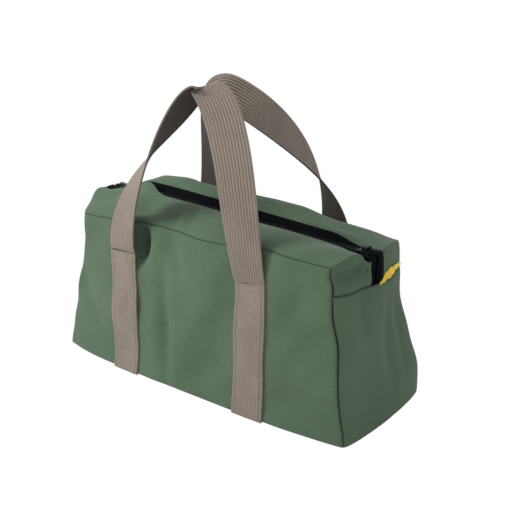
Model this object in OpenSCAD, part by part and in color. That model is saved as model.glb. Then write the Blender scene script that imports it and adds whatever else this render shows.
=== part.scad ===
// Canvas tool bag with a zipped top, two webbing handles and a ribbon pull.
// +X runs along the bag towards the closed end of the zip, -Y is the front,
// +Z is up, and the origin lies under the middle of the base.

/* [Body] */
// Length of the base from corner to corner
bag_length = 336; // [260:4:420]
// Depth of the base from corner to corner
bag_depth = 122; // [100:2:180]
// Height of the two long top seams
side_height = 150; // [140:5:220]
// Length between the corners of the top
top_length = 284; // [240:4:380]
// Depth between the two long top seams
top_depth = 104; // [100:2:160]
// How far the long sides swell outwards at the base
side_swell = 7; // [0:0.5:12]
// How far the ends swell outwards
end_swell = 8; // [4:0.5:12]
// Height of the seam where the top is turned down over each end
end_seam_height = 127; // [110:1:135]
// How far that seam dips in the middle of the end
end_seam_dip = 5; // [0:0.5:8]
// How far that seam stands out beyond the corners of the top
end_slope = 4; // [2:0.5:14]
// How far the top leans towards the closed end of the zip
top_lean = 10; // [0:1:16]
// How far the top leans towards the front
top_forward = 9; // [0:1:16]
// Thickness of the canvas
canvas = 1.5; // [0.8:0.1:2]

/* [Top] */
// Height of the zip where it is closed
zip_low = 150; // [146:1:165]
// Height of the zip where it opens from
zip_high = 171; // [156:1:185]
// How far the front half of the top stands above a straight slope
front_crown = 6; // [2:0.5:10]
// How far the rear half of the top stands above a straight slope
rear_crown = 13; // [2:0.5:14]
// Distance from the corners of the top to the ends of the two halves that open
mouth_inset = 6; // [5.5:0.5:30]
// Distance from the zip's middle to the canvas edge beside it
zip_gap = 6.5; // [6.5:0.1:8]

/* [Zip] */
// Width of one zip tape
tape_width = 10.8; // [9:0.2:14]
// Thickness of the zip tape
tape_thickness = 0.8; // [0.5:0.1:1]
// Distance from one tooth to the next on the same tape
tooth_pitch = 4; // [3.6:0.1:5]
// Height of a tooth
tooth_height = 2.4; // [2:0.1:2.8]
// Length of a tooth from its back to its head
tooth_length = 4.3; // [4:0.1:4.6]
// Length of the slider
slider_length = 12; // [11:0.5:13]
// Width of the slider at its shoulders
slider_width = 12.4; // [11.6:0.1:12.4]
// Thickness of the slider's plates
slider_plate = 1.2; // [0.8:0.1:1.6]
// How far the zip runs on level past the corners of the top
zip_overrun = 9.5; // [8:0.5:10]

/* [Handles] */
// Width of the webbing
webbing_width = 32; // [24:1:40]
// Thickness of the webbing
webbing = 2; // [1.4:0.1:2.4]
// Distance between the middles of a handle's two legs
leg_spacing = 154; // [130:2:190]
// Height at which the webbing leaves the canvas
stitch_height = 121; // [100:1:130]
// Rise of the front handle above that height
front_rise = 150; // [130:1:180]
// Rise of the rear handle above that height
rear_rise = 143; // [130:1:180]
// How far the top of the front handle leans in over the bag
front_lean = 38; // [30:1:42]
// How far the top of the rear handle leans in over the bag
rear_lean = 38; // [30:1:42]
// How far the front legs stand off the canvas above their stitching
front_bow = 5; // [2:0.5:8]
// How far the rear legs stand off the canvas above their stitching
rear_bow = 8; // [6:0.5:9]
// How far the top of the front handle lies towards the open end of the zip
front_skew = 1; // [0:1:16]
// How far the top of the rear handle lies towards the open end of the zip
rear_skew = 24; // [0:1:32]
// How far the front legs sway towards the closed end of the zip at two thirds of their height
leg_sway = 6.5; // [0:0.5:10]
// Half turns of the rear webbing about its own line, in its leg at the closed end of the zip
rear_half_turns = 1; // [0:1:1]

/* [Pull] */
// Width of the cord tape on the slider
cord_width = 5; // [3:0.5:5]
// Thickness of the cord tape and the ribbon
pull_thickness = 1; // [0.6:0.1:1.2]
// Widest part of the ribbon
ribbon_width = 9; // [6:0.5:12]
// Length of the ribbon along the end seam
ribbon_length = 42; // [30:1:48]

/* [Hidden] */

// Clearance between pieces that are sewn to or lie on each other
seat = 0.3;
// Overrun of a cut past the face that it goes through
over = 1;

// Power that keeps the long sides straight until close to the corners
side_power = 4;
// Half of the strip beside the zip that lies flat
zip_flat = 6.5;
// Distance from the zip's middle to the inner edge of a tape
tape_split = 1.2;
// How far a tooth's head reaches past the zip's middle
tooth_reach = 0.7;
// Half width of a tooth's back and of its head
tooth_back = 0.9;
tooth_head = 0.7;
// Length of a tooth's head
tooth_head_length = 1.5;
// Room for the chain between the slider's plates
chain_room = 3;
// Room for the tape in the slider's sides
tape_room = 1.4;
// Distance from the zip's middle to the slider's side walls
flange_in = 4;
// Half width of the slider at its mouth
mouth_half = 5.2;
// Size of the wedge that parts the two rows of teeth
wedge_half = 0.8;
wedge_length = 4;
// Width, height and eye of the bridge on the slider
bridge_width = 7.4;
bridge_height = 3.6;
bridge_wall = 1;
bridge_length = 5;
// Size of the zip's stops along the zip
stop_length = 1.2;
// Seam allowances inside the bag: how far they stand in, and their thickness
binding_reach = 8;
binding_thickness = 2;
binding_start = 1.5;
// Height at which the upright seam allowances begin
binding_foot = 13;

// Powers that shape a handle: how it rises, how its legs draw together, its
// skew, its lean and its twist
front_rise_power = 1.3;
front_draw_power = 1.35;
front_skew_power = 1.5;
rear_rise_power = 1.04;
rear_draw_power = 1.05;
rear_skew_power = 2.3;
lean_power = 2.4;
sway_share = 27/4;
twist_power = 2;
// Turn of the front webbing about its own line at the top of the handle
front_twist = 90;
// Where along a handle a half turn starts and ends, and how soon it comes
half_turn_from = 3;
half_turn_to = 108;
half_turn_power = 3.5;

// Numbers of rows and columns in the sheets
side_rows = 6;
bend_rows = 5;
side_columns = 16;
end_columns = 12;
top_columns = 8;
handle_rows = 44;

end_seam_x = top_length/2 + end_slope;
mouth_half_length = top_length/2 - mouth_inset;
tape_drop = canvas + 3/2*seat;
chain_drop = tape_drop + tape_thickness/2;
slider_rest = mouth_half_length + seat + slider_length/2;
green = [0.39, 0.48, 0.38];
webbing_colour = [0.55, 0.5, 0.46];
black = [0.1, 0.11, 0.11];
metal = [0.16, 0.16, 0.17];
yellow = [0.9, 0.75, 0.15];

function lerp(a, b, t) = a + (b - a)*t;
function mound(t) = 1 - t*t;
function unit(v) = v/norm(v);

// Shape of the body

function half_depth(z) = lerp(bag_depth/2, top_depth/2, z/side_height);

function side_y(x, z) =
    let (along = min(1, 2*abs(x)/bag_length), fade = max(0, 1 - z/side_height))
    half_depth(z) + side_swell*(1 - pow(along, side_power))*fade;

function end_x(y, z) =
    lerp(bag_length/2, end_seam_x, z/end_seam_height) + end_swell*mound(y/half_depth(z));

function end_seam_z(y) = end_seam_height - end_seam_dip*mound(2*y/top_depth);

// Middle of the zip at a place along the bag
function zip_z(x) = lerp(zip_high, zip_low, (x + top_length/2)/top_length);

// Height of the top, y counted from the zip towards either seam
function top_z(x, y, crown) =
    let (t = max(0, (y - zip_flat)/(top_depth/2 - zip_flat)))
    lerp(zip_z(x), side_height, t) + 4*crown*t*(1 - t);

// The turned-down end of the top: a level run, then a bend down to the end seam
function lead_x(y) = top_length/2 + zip_overrun*mound(2*y/top_depth);
function seam_x(y) = end_seam_x + end_swell*mound(2*y/top_depth);
function bend_x(y, s) =
    let (corner = seam_x(y) - end_slope/4*pow(2*y/top_depth, 2))
    lead_x(y)*pow(1 - s, 2) + 2*corner*s*(1 - s) + seam_x(y)*s*s;
function bend_z(from, to, s) = lerp(from, to, s*s);

// Half length of a long side at a height, up into its rounded top corner
function corner_x(z) = z <= end_seam_height
    ? lerp(bag_length/2, end_seam_x, z/end_seam_height)
    : bend_x(top_depth/2, sqrt((side_height - z)/(side_height - end_seam_height)));

// The bag stands with its top leaning over. A sheet's points are moved over by
// height, and what lies on the top is moved over whole. The two signs follow
// the mirrored copies.
$end = 1;
$face = 1;
function lean_share(z) = max(0, min(1, z/end_seam_height));
function leaned(p) = p + lean_share(p[2])*[$end*top_lean, -$face*top_forward, 0];
module on_top() { translate([$end*top_lean, -$face*top_forward, 0]) children(); }
module at_rear() {
    mirror([0, 1, 0]) let ($face = -$face) children();
}
module at_left() {
    mirror([1, 0, 0]) let ($end = -$end) children();
}

// A closed sheet between two grids of points. Seen from outside, the rows go
// up and the columns go to the right.
module sheet(outer, inner) {
    rows = len(outer);
    cols = len(outer[0]);
    count = rows*cols;
    skin = [for (i = [0:rows - 2]) for (j = [0:cols - 2])
        [i*cols + j, (i + 1)*cols + j, (i + 1)*cols + j + 1, i*cols + j + 1]];
    rim = concat(
        [for (i = [0:rows - 1]) i*cols],
        [for (j = [1:cols - 1]) (rows - 1)*cols + j],
        [for (i = [rows - 2:-1:0]) i*cols + cols - 1],
        [for (j = [cols - 2:-1:1]) j]);
    last = len(rim);
    faces = concat(
        [for (q = skin) each [[q[0], q[1], q[2]], [q[0], q[2], q[3]]]],
        [for (q = skin) each [[q[0], q[2], q[1]] + [count, count, count],
            [q[0], q[3], q[2]] + [count, count, count]]],
        [for (k = [0:last - 1]) let (a = rim[k], b = rim[(k + 1)%last])
            each [[a, a + count, b + count], [a, b + count, b]]]);
    polyhedron(points = [for (r = concat(outer, inner)) for (p = r) leaned(p)],
        faces = faces, convexity = 6);
}

// Canvas panels

module long_side() {
    low = canvas + seat;
    high = side_height - canvas - seat;
    heights = concat(
        [for (i = [0:side_rows - 1]) lerp(low, end_seam_height, i/side_rows)],
        [for (i = [0:bend_rows]) lerp(end_seam_height, high, i/bend_rows)]);
    function point(z, j, depth) =
        let (x = lerp(-1, 1, j/side_columns)*(corner_x(z) - canvas - seat))
        [x, depth - side_y(x, z), z];
    sheet([for (z = heights) [for (j = [0:side_columns]) point(z, j, 0)]],
        [for (z = heights) [for (j = [0:side_columns]) point(z, j, canvas)]]);
}

module end_side() {
    low = canvas + seat;
    function point(i, j, depth) =
        let (across = lerp(-1, 1, j/end_columns),
            high = end_seam_z(across*top_depth/2) - seat/2,
            z = lerp(low, high, i/side_rows),
            y = across*half_depth(z))
        [end_x(y, z) - depth, y, z];
    sheet([for (i = [0:side_rows]) [for (j = [0:end_columns]) point(i, j, 0)]],
        [for (i = [0:side_rows]) [for (j = [0:end_columns]) point(i, j, canvas)]]);
}

module front_panel() { color(green) long_side(); }
module rear_panel() { color(green) at_rear() long_side(); }
module right_end_panel() { color(green) end_side(); }
module left_end_panel() { color(green) at_left() end_side(); }

module bottom_panel() {
    sides = [for (j = [-side_columns/2:side_columns/2]) 2*j/side_columns*bag_length/2];
    ends = [for (j = [1:end_columns - 1]) lerp(-1, 1, j/end_columns)*bag_depth/2];
    color(green) linear_extrude(canvas)
        polygon(concat(
            [for (x = sides) [x, -side_y(x, 0)]],
            [for (y = ends) [end_x(y, 0), y]],
            [for (x = sides) [-x, side_y(x, 0)]],
            [for (y = ends) [-end_x(y, 0), -y]]));
}

// The turned-down ends of the top. One half lies between the zip's edge and a
// long seam; run is the side of the bag, 1 for the zip's closed end.

function end_profile(y, run, crown, drop) =
    let (from = mouth_half_length + seat, level = top_z(run*lead_x(y), y, crown),
        to = end_seam_z(y) + seat/2)
    concat(
        [for (i = [bend_rows:-1:1]) let (s = i/bend_rows,
            dx = bend_x(y, s) - bend_x(y, s - 1/bend_rows/2),
            dz = bend_z(level, to, s) - bend_z(level, to, s - 1/bend_rows/2),
            out = unit([-dz, dx]))
            [bend_x(y, s) - out[0]*drop, y, bend_z(level, to, s) - out[1]*drop]],
        [for (x = [lead_x(y), from]) [x, y, top_z(run*x, y, crown) - drop]]);

function transposed(grid) = [for (i = [0:len(grid[0]) - 1]) [for (row = grid) row[i]]];

module end_half(run, crown, from, to, steps, drop, thickness) {
    places = [for (j = [0:steps]) lerp(from, to, j/steps)];
    sheet(transposed([for (y = places) end_profile(y, run, crown, drop)]),
        transposed([for (y = places) end_profile(y, run, crown, drop + thickness)]));
}

module end_pair(run, from, to, steps, drop, thickness) {
    at_rear() end_half(run, front_crown, from, to, steps, drop, thickness);
    end_half(run, rear_crown, from, to, steps, drop, thickness);
}

module right_top_end() {
    color(green) end_pair(1, zip_gap, top_depth/2, top_columns, 0, canvas);
}

module left_top_end() {
    color(green) at_left() end_pair(-1, zip_gap, top_depth/2, top_columns, 0, canvas);
}

module right_zip_end_tapes() {
    color(black)
        end_pair(1, tape_split, tape_split + tape_width, top_columns, tape_drop, tape_thickness);
}

module left_zip_end_tapes() {
    color(black) at_left()
        end_pair(-1, tape_split, tape_split + tape_width, top_columns, tape_drop, tape_thickness);
}

// The two halves of the top that open at the zip

module top_half(crown, from, to, steps, drop, thickness) {
    function point(i, j, depth) =
        let (y = lerp(to, from, i/steps), x = lerp(-1, 1, j/top_columns)*mouth_half_length)
        [x, -y, top_z(x, y, crown) - drop - depth];
    sheet([for (i = [0:steps]) [for (j = [0:top_columns]) point(i, j, 0)]],
        [for (i = [0:steps]) [for (j = [0:top_columns]) point(i, j, thickness)]]);
}

module front_top_half() {
    color(green)
        top_half(front_crown, zip_gap, top_depth/2 - seat, 2*bend_rows, 0, canvas);
}

module rear_top_half() {
    color(green) at_rear()
        top_half(rear_crown, zip_gap, top_depth/2 - seat, 2*bend_rows, 0, canvas);
}

module front_zip_tape() {
    color(black) top_half(front_crown, tape_split, tape_split + tape_width, 2*bend_rows,
        tape_drop, tape_thickness);
}

module rear_zip_tape() {
    color(black) at_rear() top_half(rear_crown, tape_split, tape_split + tape_width,
        2*bend_rows, tape_drop, tape_thickness);
}

// Zip teeth. Each one grips the edge of its tape with a slot and reaches past
// the middle between two teeth of the other tape.

module tooth() {
    back = tooth_reach - tooth_length;
    neck = tooth_reach - tooth_head_length;
    difference() {
        translate([0, 0, -tooth_height/2]) linear_extrude(tooth_height) polygon([
            [-tooth_back, back], [tooth_back, back], [tooth_back, neck - tooth_head_length/2],
            [tooth_head/2, neck], [tooth_head, tooth_reach - tooth_head/2],
            [tooth_head/2, tooth_reach], [-tooth_head/2, tooth_reach],
            [-tooth_head, tooth_reach - tooth_head/2], [-tooth_head/2, neck],
            [-tooth_back, neck - tooth_head_length/2]]);
        translate([-tooth_back - over, back - over, -tape_thickness/2 - seat/2])
            cube([2*(tooth_back + over), over + tooth_length - tooth_reach - tape_split + seat/2,
                tape_thickness + seat]);
    }
}

module teeth(from, to) {
    for (x = [from:tooth_pitch:to])
        translate([x, 0, zip_z(x) - chain_drop]) tooth();
}

tooth_count = floor(2*(mouth_half_length - tooth_back - seat)/tooth_pitch);
chain_start = -tooth_count*tooth_pitch/2;

module front_zip_teeth() {
    color(metal) on_top() teeth(chain_start, chain_start + tooth_count*tooth_pitch);
}

module rear_zip_teeth() {
    color(metal) at_rear() on_top() teeth(chain_start + tooth_pitch/2,
        chain_start + (tooth_count - 1/2)*tooth_pitch);
}

// Teeth between the mouth and the stops: one pair under the slider, and the
// closed foot of the chain at the other end
module zip_end_teeth() {
    right = mouth_half_length + seat + tooth_pitch/2;
    left = -mouth_half_length - seat - tooth_pitch/2;
    color(metal) on_top() {
        teeth(right, right);
        at_rear() teeth(right + tooth_pitch/2, right + tooth_pitch/2);
        for (k = [0, 1]) {
            teeth(left - k*tooth_pitch, left - k*tooth_pitch);
            at_rear() teeth(left - (k + 1/2)*tooth_pitch, left - (k + 1/2)*tooth_pitch);
        }
    }
}

stop_x = slider_rest + slider_length/2 + seat;

module half_stop(x, from) {
    reach = tooth_length - tooth_reach;
    translate([x, 0, zip_z(x) - chain_drop - tooth_height/2]) difference() {
        translate([0, from, 0]) cube([stop_length, reach - from, tooth_height]);
        translate([-over, tape_split - seat/2, tooth_height/2 - tape_thickness/2 - seat])
            cube([stop_length + 2*over, reach, tape_thickness + 2*seat]);
    }
}

module zip_top_stops() {
    color(metal) on_top() {
        half_stop(stop_x, seat);
        at_rear() half_stop(stop_x, seat);
    }
}

module zip_bottom_stop() {
    color(metal) on_top() {
        half_stop(-stop_x - stop_length, -seat);
        at_rear() half_stop(-stop_x - stop_length, -seat);
    }
}

// Slider, drawn about the middle of the chain with its wedge towards +X

slider_pitch = -atan((zip_high - zip_low)/top_length);

module on_slider() {
    on_top() translate([slider_rest, 0, zip_z(slider_rest) - chain_drop])
        rotate([0, -slider_pitch, 0]) children();
}

module slider_outline() {
    half = slider_length/2;
    polygon([
        [-half, -mouth_half], [-half/4, -mouth_half], [half/2, -slider_width/2],
        [half*3/4, -slider_width/2], [half, -slider_width/4],
        [half, slider_width/4], [half*3/4, slider_width/2],
        [half/2, slider_width/2], [-half/4, mouth_half], [-half, mouth_half]]);
}

module slider_body() {
    full = chain_room + 2*slider_plate;
    color(metal) on_slider() difference() {
        translate([0, 0, -full/2]) linear_extrude(full) slider_outline();
        difference() {
            translate([-slider_length/2 - over, -flange_in, -chain_room/2])
                cube([slider_length + 2*over, 2*flange_in, chain_room]);
            translate([slider_length/4, 0, -chain_room/2]) linear_extrude(chain_room)
                polygon([[-wedge_length/2, 0], [0, -wedge_half], [wedge_length/2, -wedge_half],
                    [wedge_length/2, wedge_half], [0, wedge_half]]);
        }
        translate([-slider_length/2 - over, -slider_width/2 - over, -tape_room/2])
            cube([slider_length + 2*over, over + slider_width/2 - flange_in + seat, tape_room]);
        translate([-slider_length/2 - over, flange_in - seat, -tape_room/2])
            cube([slider_length + 2*over, over + slider_width/2 - flange_in + seat, tape_room]);
    }
}

module slider_bridge() {
    floor_z = chain_room/2 + slider_plate;
    color(metal) on_slider() translate([-bridge_length/2, 0, floor_z])
        rotate([90, 0, 90]) linear_extrude(bridge_length) difference() {
            polygon([[-bridge_width/2, 0], [-bridge_width/2, bridge_height - bridge_wall],
                [-bridge_width/2 + bridge_wall, bridge_height],
                [bridge_width/2 - bridge_wall, bridge_height],
                [bridge_width/2, bridge_height - bridge_wall], [bridge_width/2, 0]]);
            polygon([[-bridge_width/2 + bridge_wall, -over],
                [-bridge_width/2 + bridge_wall, bridge_height - bridge_wall],
                [bridge_width/2 - bridge_wall, bridge_height - bridge_wall],
                [bridge_width/2 - bridge_wall, -over]]);
        }
}

// Pull: a dark cord tape from the bridge down over the end, and a bright
// ribbon that lies along the end seam towards the rear

// Distance from the end of the bag to the middle of the cord tape and the ribbon
pull_clear = 2;
ribbon_clear = 1.4;
cord_top = zip_z(slider_rest) - chain_drop + chain_room/2 + slider_plate + seat + pull_thickness/2;
cord_foot = end_seam_height - end_seam_dip + ribbon_width/2;
cord_points = 12;
cord_reach_share = 0.25;

// The cord runs level to past the end and then hangs down close to it
function cord_point(t) =
    let (start = slider_rest, edge = seam_x(0) + pull_clear,
        s = max(0, (t - cord_reach_share)/(1 - cord_reach_share)),
        run = min(1, t/cord_reach_share))
    [lerp(start, lead_x(0), run)*pow(1 - s, 3)
        + (edge + pull_clear)*(3*s*pow(1 - s, 2) + 3*s*s*(1 - s)) + edge*pow(s, 3), 0,
        lerp(cord_top, cord_foot, s*s*(3 - 2*s))];

module pull_cord() {
    function side(t, out) =
        let (a = cord_point(max(0, t - 1/cord_points)), b = cord_point(min(1, t + 1/cord_points)),
            n = unit([a[2] - b[2], 0, b[0] - a[0]]))
        [for (y = [-cord_width/2, cord_width/2]) cord_point(t) + [0, y, 0] + n*out*pull_thickness/2];
    ts = [for (i = [cord_points:-1:0]) i/cord_points];
    color(black) sheet([for (t = ts) side(t, 1)], [for (t = ts) side(t, -1)]);
}

ribbon_steps = 10;
ribbon_end_share = 0.45;

module pull_ribbon() {
    function centre(t) =
        let (y = cord_width/2 + seat + t*ribbon_length)
        [seam_x(min(y, top_depth/2)) + ribbon_clear, y, end_seam_z(y) + ribbon_width/4*t];
    function half(t) = ribbon_width/2*lerp(ribbon_end_share, 1, 4*t*(1 - t));
    flare = (bag_length/2 - end_seam_x)/end_seam_height;
    ts = [for (i = [0:ribbon_steps]) i/ribbon_steps];
    function grid(out) = [for (side = [-1, 1])
        [for (t = ts) centre(t)
            + [out*pull_thickness/2 + max(0, -side)*half(t)*flare, 0, side*half(t)]]];
    color(yellow) sheet(grid(1), grid(-1));
}

// Webbing sewn to the long sides, from the base seam up to the stitch line

// The front straps stand upright, and the rear ones lean with the canvas.
function upright(z, upright_share) = upright_share*top_lean*lean_share(z);

module sewn_strap(x_middle, upright_share) {
    steps = 4;
    function point(i, j, out) =
        let (z = lerp(seat, stitch_height - seat/2, i/side_rows),
            x = x_middle + lerp(-1, 1, j/steps)*webbing_width/2 - upright(z, upright_share))
        [x, -side_y(x, z) - seat - out, z];
    sheet([for (i = [0:side_rows]) [for (j = [0:steps]) point(i, j, webbing)]],
        [for (i = [0:side_rows]) [for (j = [0:steps]) point(i, j, 0)]]);
}

module front_left_strap() { color(webbing_colour) sewn_strap(-leg_spacing/2, 1); }
module front_right_strap() { color(webbing_colour) sewn_strap(leg_spacing/2, 1); }
module rear_left_strap() { color(webbing_colour) at_rear() sewn_strap(-leg_spacing/2, 0); }
module rear_right_strap() { color(webbing_colour) at_rear() sewn_strap(leg_spacing/2, 0); }

// Free arch of a handle, from its right leg over the top to its left leg. A
// handle is told by its rise, lean, skew, upright share, rise power, draw
// power, skew power, sway, bow, twist and half turns.

front_arch = [front_rise, front_lean, front_skew, 1,
    front_rise_power, front_draw_power, front_skew_power, leg_sway, front_bow, front_twist, 0];
rear_arch = [rear_rise, rear_lean, rear_skew, 0,
    rear_rise_power, rear_draw_power, rear_skew_power, 0, rear_bow, 0, rear_half_turns];
leg_y = -side_y(leg_spacing/2, stitch_height) - seat - webbing/2;

function arch_point(a, arch) =
    let (up = pow(abs(sin(a)), arch[4]), z = stitch_height + 3/2*seat + arch[0]*up,
        side = sign(cos(a))*pow(abs(cos(a)), arch[5]))
    [side*leg_spacing/2 + sway_share*arch[7]*up*up*(1 - up) - arch[2]*pow(up, arch[6]),
        leg_y - 4*arch[8]*up*(1 - up) + arch[1]*pow(up, lean_power), z];

function half_turn_share(a) =
    let (s = max(0, min(1, (a - half_turn_from)/(half_turn_to - half_turn_from))))
    1 - pow(1 - s, half_turn_power)*(1 + half_turn_power*s);

function arch_edge(a, arch, side, out) =
    let (step = 180/handle_rows/4,
        along = unit(arch_point(min(180, a + step), arch) - arch_point(max(0, a - step), arch)),
        turn = arch[9]*pow(sin(a), twist_power) + 180*arch[10]*half_turn_share(a),
        outward = unit(cross([0, 1, 0], along)),
        rough = cos(turn)*outward + sin(turn)*[0, 1, 0],
        across = unit(rough - (rough*along)*along),
        face = cross(across, along),
        edge = arch_point(a, arch) + side*webbing_width/2*across + out*webbing/2*face)
    edge - [upright(edge[2], arch[3]), 0, 0];

module handle(arch) {
    angles = [for (i = [0:handle_rows]) 180*i/handle_rows];
    function grid(out) = [for (a = angles) [for (side = [-1, 1])
        arch_edge(a, arch, side, out)]];
    sheet(grid(1), grid(-1));
}

module front_handle_webbing() { color(webbing_colour) handle(front_arch); }
module rear_handle_webbing() { color(webbing_colour) at_rear() handle(rear_arch); }

// Bound seam allowances inside the bag

module fin(line, away, across) {
    function edge(p, reach, side) = p + away*reach + across*side*binding_thickness/2;
    far = binding_start + binding_reach;
    sheet([for (p = line) [edge(p, binding_start, 1), edge(p, far, 1)]],
        [for (p = line) [edge(p, binding_start, -1), edge(p, far, -1)]]);
}

module corner_bindings() {
    high = end_seam_height - end_seam_dip;
    line = [for (i = [0:side_rows]) let (z = lerp(binding_foot, high, i/side_rows))
        [corner_x(z) - canvas, canvas - half_depth(z), z]];
    module corner() { fin(line, unit([-1, 1, 0]), unit([-1, -1, 0])); }
    color(black) {
        corner();
        at_rear() corner();
        at_left() corner();
        at_left() at_rear() corner();
    }
}

module base_bindings() {
    half = bag_length/2 - canvas - seat - binding_reach;
    line = [for (j = [0:side_columns]) let (x = lerp(1, -1, j/side_columns)*half)
        [x, canvas - side_y(x, canvas), canvas]];
    half_end = bag_depth/2 - canvas - 2*binding_reach;
    end_line = [for (j = [0:end_columns]) let (y = lerp(1, -1, j/end_columns)*half_end)
        [end_x(y, canvas) - canvas, y, canvas]];
    module along_side() { fin(line, unit([0, 1, 1]), unit([0, -1, 1])); }
    module along_end() { fin(end_line, unit([-1, 0, 1]), unit([1, 0, 1])); }
    color(black) {
        along_side();
        at_rear() along_side();
        along_end();
        at_left() along_end();
    }
}

front_panel();
rear_panel();
bottom_panel();
left_end_panel();
right_end_panel();
left_top_end();
right_top_end();
left_zip_end_tapes();
right_zip_end_tapes();
zip_end_teeth();
zip_top_stops();
zip_bottom_stop();
corner_bindings();
base_bindings();
front_left_strap();
front_right_strap();
rear_left_strap();
rear_right_strap();
front_top_half();
front_zip_tape();
front_zip_teeth();
rear_top_half();
rear_zip_tape();
rear_zip_teeth();
front_handle_webbing();
rear_handle_webbing();
slider_body();
slider_bridge();
pull_cord();
pull_ribbon();
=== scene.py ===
"""Looks of a long canvas tool bag: its cloth, webbing handles, zip and ribbon pull.

Everything is in metres. +X runs along the bag towards the closed end of the zip, -Y is the front
and +Z is up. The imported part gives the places, and the pieces made here follow its solids.
"""

import logging
import math
from dataclasses import dataclass
from enum import Enum
from typing import Callable, Sequence

import bmesh
import bpy
import numpy as np
from mathutils import Matrix, Vector


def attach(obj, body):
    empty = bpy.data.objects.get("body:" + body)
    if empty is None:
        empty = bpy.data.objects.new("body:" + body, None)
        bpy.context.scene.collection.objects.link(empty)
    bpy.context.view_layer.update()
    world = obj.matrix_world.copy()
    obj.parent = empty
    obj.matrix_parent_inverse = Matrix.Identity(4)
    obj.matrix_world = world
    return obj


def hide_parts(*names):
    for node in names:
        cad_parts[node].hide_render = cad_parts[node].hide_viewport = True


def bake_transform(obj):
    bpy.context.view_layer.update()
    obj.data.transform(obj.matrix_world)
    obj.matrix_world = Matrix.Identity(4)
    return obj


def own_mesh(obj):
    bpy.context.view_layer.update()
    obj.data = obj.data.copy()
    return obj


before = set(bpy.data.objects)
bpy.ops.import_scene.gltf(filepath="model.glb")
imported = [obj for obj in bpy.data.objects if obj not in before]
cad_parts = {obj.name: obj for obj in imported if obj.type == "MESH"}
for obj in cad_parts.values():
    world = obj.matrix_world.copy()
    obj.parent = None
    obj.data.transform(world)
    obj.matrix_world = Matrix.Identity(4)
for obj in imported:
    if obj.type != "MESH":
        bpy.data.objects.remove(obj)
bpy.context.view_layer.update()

log = logging.getLogger("tool_bag")
logging.basicConfig(level=logging.INFO, format="%(name)s: %(message)s")

Rows = np.ndarray
Place = Callable[[Rows, Rows], Rows]
Line = Callable[[Rows], Rows]
Vec3 = tuple[float, float, float]
Mesh = bmesh.types.BMesh
Piece = bpy.types.Object
Material = bpy.types.Material
Tree = bpy.types.NodeTree
Node = bpy.types.Node
Socket = bpy.types.NodeSocket

# Added to lengths and shares that may not be zero
TINY = 1e-6


# Shape of the bag


class Direction(Enum):
    """A sign along one axis of the bag."""

    @property
    def label(self) -> str:
        """Its word in the names of pieces."""
        return self.name.lower()


class Side(Direction):
    """The two long sides of the bag, by the sign of their Y."""

    FRONT = -1
    REAR = 1


class End(Direction):
    """The two ends of the bag, by the sign of their X: where the slider stands when open and closed."""

    OPEN = -1
    CLOSED = 1

    @property
    def part(self) -> str:
        """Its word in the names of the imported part."""
        return "left" if self is End.OPEN else "right"


@dataclass(frozen=True)
class Fold:
    """A soft hollow or swelling that moves all the cloth near one place."""

    place: Vec3
    reach: Vec3
    shift: Vec3
    turn: float = 0.0

    def moves(self, points: Rows) -> Rows:
        """Gives how far the fold moves each point.

        Args:
            points: places in space, one row each.

        Returns:
            One row of movement for each place.
        """
        away = points - np.array(self.place)
        cos, sin = math.cos(self.turn), math.sin(self.turn)
        along = away[:, 0] * cos + away[:, 2] * sin
        across = away[:, 2] * cos - away[:, 0] * sin
        far = (
            (along / self.reach[0]) ** 2
            + (away[:, 1] / self.reach[1]) ** 2
            + (across / self.reach[2]) ** 2
        )
        return np.exp(-far)[:, None] * np.array(self.shift)


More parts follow.
